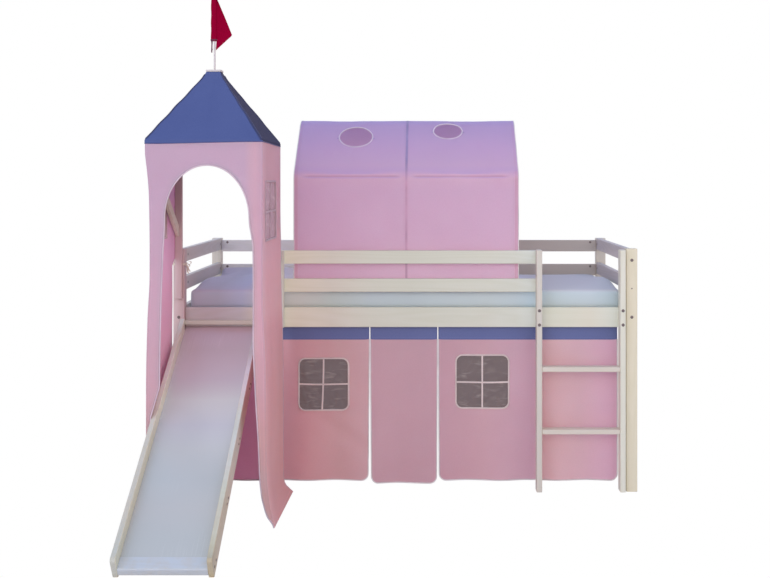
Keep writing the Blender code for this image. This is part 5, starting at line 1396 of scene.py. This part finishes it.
def add_heads(name, radius, height, socket, finish, places):
    """Low round heads with a rounded rim and a socket at points of the frame, each facing its direction."""
    deselect_all()
    bpy.ops.mesh.primitive_cylinder_add(vertices=24, radius=radius, depth=height)
    head = named(name, finish)
    start_edit(head)
    bpy.ops.mesh.select_mode(type="FACE")
    bpy.ops.mesh.select_all(action="DESELECT")
    end_edit()
    for face in head.data.polygons:
        face.select = face.normal.z > 0.9
    bpy.ops.object.mode_set(mode="EDIT")
    bpy.ops.mesh.inset(thickness=radius * 0.16)
    bpy.ops.transform.translate(value=(0, 0, height * 0.25))
    bpy.ops.mesh.inset(thickness=radius * 0.84 - socket)
    bpy.ops.mesh.inset(thickness=socket * 0.04)
    bpy.ops.mesh.extrude_region_move(TRANSFORM_OT_translate={"value": (0, 0, -height * 0.7)})
    end_edit()
    smooth(head, 35)
    for index, (point, direction) in enumerate(places):
        piece = in_scene(f"{name}_{index + 1}", head.data.copy())
        turn = UP.rotation_difference(Vector(direction)).to_matrix().to_4x4()
        turn.translation = Vector(point) + UP * height / 2
        piece.data.transform(turn)
        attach(piece, "bed")
    bpy.data.objects.remove(head, do_unlink=True)


def build_fasteners():
    """Bolt heads, barrel nuts and screw heads where the pieces of the frame meet."""
    sides = (-1, 1)
    bolts = [((side * 1.050, y, z - 0.005), (side, 0, 0)) for z in (1.070, 0.942, 0.797) for side in sides
             for y in (FRONT_Y + 0.0375, BED_BACK_Y - 0.0375)]
    bolts += [((side * POST_X, FRONT_Y, z), FORWARDS) for z in (1.047, 0.789) for side in sides]
    bolts += [((side * 1.020, BED_BACK_Y, z), BACKWARDS) for z in (1.070, 0.942, 0.797) for side in sides]
    bolts += [((x, front(0.0353), z), FORWARDS) for x in (0.6035, 0.9795) for z in (0.822, 0.758)]
    add_heads("bolt_head", 0.0070, 0.0022, 0.0032, bolt_steel, bolts)
    nuts = [((side * 0.968, BED_BACK_Y - 0.0502, z), FORWARDS)
            for z in (1.0785, 0.950, 0.787) for side in sides]
    nuts += [((side * 1.0, y, z), (-side, 0, 0)) for z in (1.070, 0.942) for side in sides
             for y in (FRONT_Y + 0.082, BED_BACK_Y - 0.082)]
    add_heads("barrel_nut", 0.0062, 0.0008, 0.0030, bolt_steel, nuts)
    screws = []
    for reach in (0.305, 0.590, 0.865, 1.120):
        for step in (-0.015, 0.015):
            at = reach + step * cos(SLIDE_SLOPE)
            z = 0.785 - at * tan(SLIDE_SLOPE) - 0.072
            screws += [((-1.0175, front(at), z), (-1, 0, 0)), ((-0.656, front(at), z), (1, 0, 0))]
    add_heads("slide_screw", 0.0052, 0.0012, 0.0022, screw_steel, screws)
    add_heads("post_screw", 0.0030, 0.0008, 0.0014, screw_steel,
              [((side * POST_X, FRONT_Y, 0.919), FORWARDS) for side in sides])


def build_ties():
    """Cotton tape that ties the tower to the left post, with a bow."""
    half = 0.026
    middle = Vector((-POST_X, FRONT_Y + 0.025, 1.030))
    knot_place = middle + Vector((half + 0.003, -half + 0.006, -0.002))
    corners = [(-half, -half), (half, -half), (half, half), (-half, half), (-half, -half)]
    loop = []
    for start, end in zip(corners, corners[1:]):
        loop += traced(8, lambda share: middle + Vector((*mixed(start, end, share), 0)))[:-1]
    loop.append(loop[0].copy())
    band = ribbon("tie_loop", tape_cotton, loop, UP, 0.010)
    deselect_all()
    bpy.ops.mesh.primitive_uv_sphere_add(segments=16, ring_count=10, radius=0.0055, location=knot_place)
    knot = named("tie_knot", tape_cotton)
    for vertex in knot.data.vertices:
        vertex.co += vertex.co.normalized() * 0.0009 * ripple(*(vertex.co * 300))
    settle(knot)
    smooth(knot)

    def bow(index, lean, rise):
        def point(share):
            angle = 2 * pi * share
            return knot_place + Vector((lean * 0.013 * (1 - cos(angle)), -0.004 * sin(angle),
                                        rise * (1 - cos(angle)) / 2 + 0.007 * sin(angle)))
        across = Vector((0.2, 1, 0.1))
        return ribbon(f"tie_bow_{index}", tape_cotton, traced(16, point), across, 0.008, 0.0011)

    def tail(index, lean, drop):
        def point(share):
            return knot_place + Vector((0.003 + lean * share + 0.002 * sin(share * 6), -0.002 * index,
                                        -drop * share))
        across = Vector((0.5, 0.8, 0))
        return ribbon(f"tie_tail_{index}", tape_cotton, traced(8, point), across, 0.008, 0.0011)
    bows = [bow(1, 1, 0.010), bow(2, 0.75, -0.006)]
    ride_all([band, knot, *bows, tail(1, 0.012, 0.040), tail(2, 0.020, 0.031)], "bed")


# Studio

EYE = (0.1023, FRONT_Y - 5.294, 1.411)
WORLD_LEFT, WORLD_RIGHT, WORLD_TOP = (0.92, 0.86, 0.92, 1), (0.76, 0.61, 0.55, 1), (0.43, 0.62, 1.00, 1)


def build_stage():
    """White floor that shines for the camera, and the soft light of a room round the bed."""
    deselect_all()
    bpy.ops.mesh.primitive_plane_add(size=14)
    floor = bpy.context.object
    floor.name = "studio_floor"
    material, tree, _ = new_material("white floor", {"Base Color": display(232, 230, 230), "Roughness": 0.9})
    seen = add_node(tree, "LightPath").outputs["Is Camera Ray"]
    mix = add_node(tree, "MixShader", {0: seen, 1: tree.nodes["Principled BSDF"].outputs[0],
                                       2: add_node(tree, "Emission").outputs[0]})
    feed(tree, tree.nodes["Material Output"].inputs["Surface"], mix.outputs[0])
    floor.data.materials.append(material)

    world = bpy.data.worlds.new("studio")
    bpy.context.scene.world = world
    world.use_nodes = True
    tree = world.node_tree
    sideways, _, upwards = parts_of(tree, add_node(tree, "TexCoord").outputs["Generated"])
    around = mix_colour(tree, range_node(tree, sideways, -0.7, 0.8), WORLD_LEFT, WORLD_RIGHT)
    around = mix_colour(tree, range_node(tree, upwards, 0.15, 0.95), around, WORLD_TOP)
    seen = add_node(tree, "LightPath").outputs["Is Camera Ray"]
    feed(tree, tree.nodes["Background"].inputs["Color"], mix_colour(tree, seen, around, (1, 1, 1, 1)))


def add_lamp(name, kind, place, target, energy, colour, **settings):
    """Studio lamp that points at a place."""
    light = bpy.data.lights.new(name, kind)
    light.energy = energy
    light.color = colour
    for setting, value in settings.items():
        setattr(light, setting, value)
    lamp = in_scene(name, light)
    lamp.location = place
    lamp.visible_camera = False
    lamp.rotation_euler = (Vector(target) - Vector(place)).to_track_quat("-Z", "Y").to_euler()


def build_studio():
    """Camera of the photograph and its soft light."""
    camera = bpy.data.cameras.new("camera")
    camera.lens = 54.7
    camera.sensor_width = 36
    camera.shift_x = -0.0558
    camera.shift_y = -0.1416
    camera.clip_end = 60
    eye = in_scene("camera", camera)
    eye.location = EYE
    eye.rotation_euler = (pi / 2, 0, 0)
    bpy.context.scene.camera = eye
    bpy.context.scene.view_settings.view_transform = "Standard"
    add_lamp("key", "SUN", (-2.0, -5.0, 1.9), (0, 0, 0.8), 0.62, (1.0, 0.98, 0.96), angle=radians(50))
    add_lamp("fill", "SUN", (2.8, -5.0, 1.7), (0, 0, 0.9), 0.37, (1.0, 0.90, 0.84), angle=radians(50))
    add_lamp("tower glow", "AREA", (-0.80, front(0.36), 1.14), (-0.82, front(0.16), 0.7), 0.48,
             (0.95, 0.84, 1.0), size=0.30)


paint_frame()
build_studio()
build_stage()
build_mattress()
build_front_cloth()
build_wall_cloth("left_wall_cloth", -1, "tower_left_cloth", left_wall_pink)
build_wall_cloth("right_wall_cloth", 1, "tower_right_cloth", wall_pink)
build_roof()
build_flag()
build_tunnel()
for panel in PANELS:
    build_panel(panel)
build_fasteners()
build_ties()
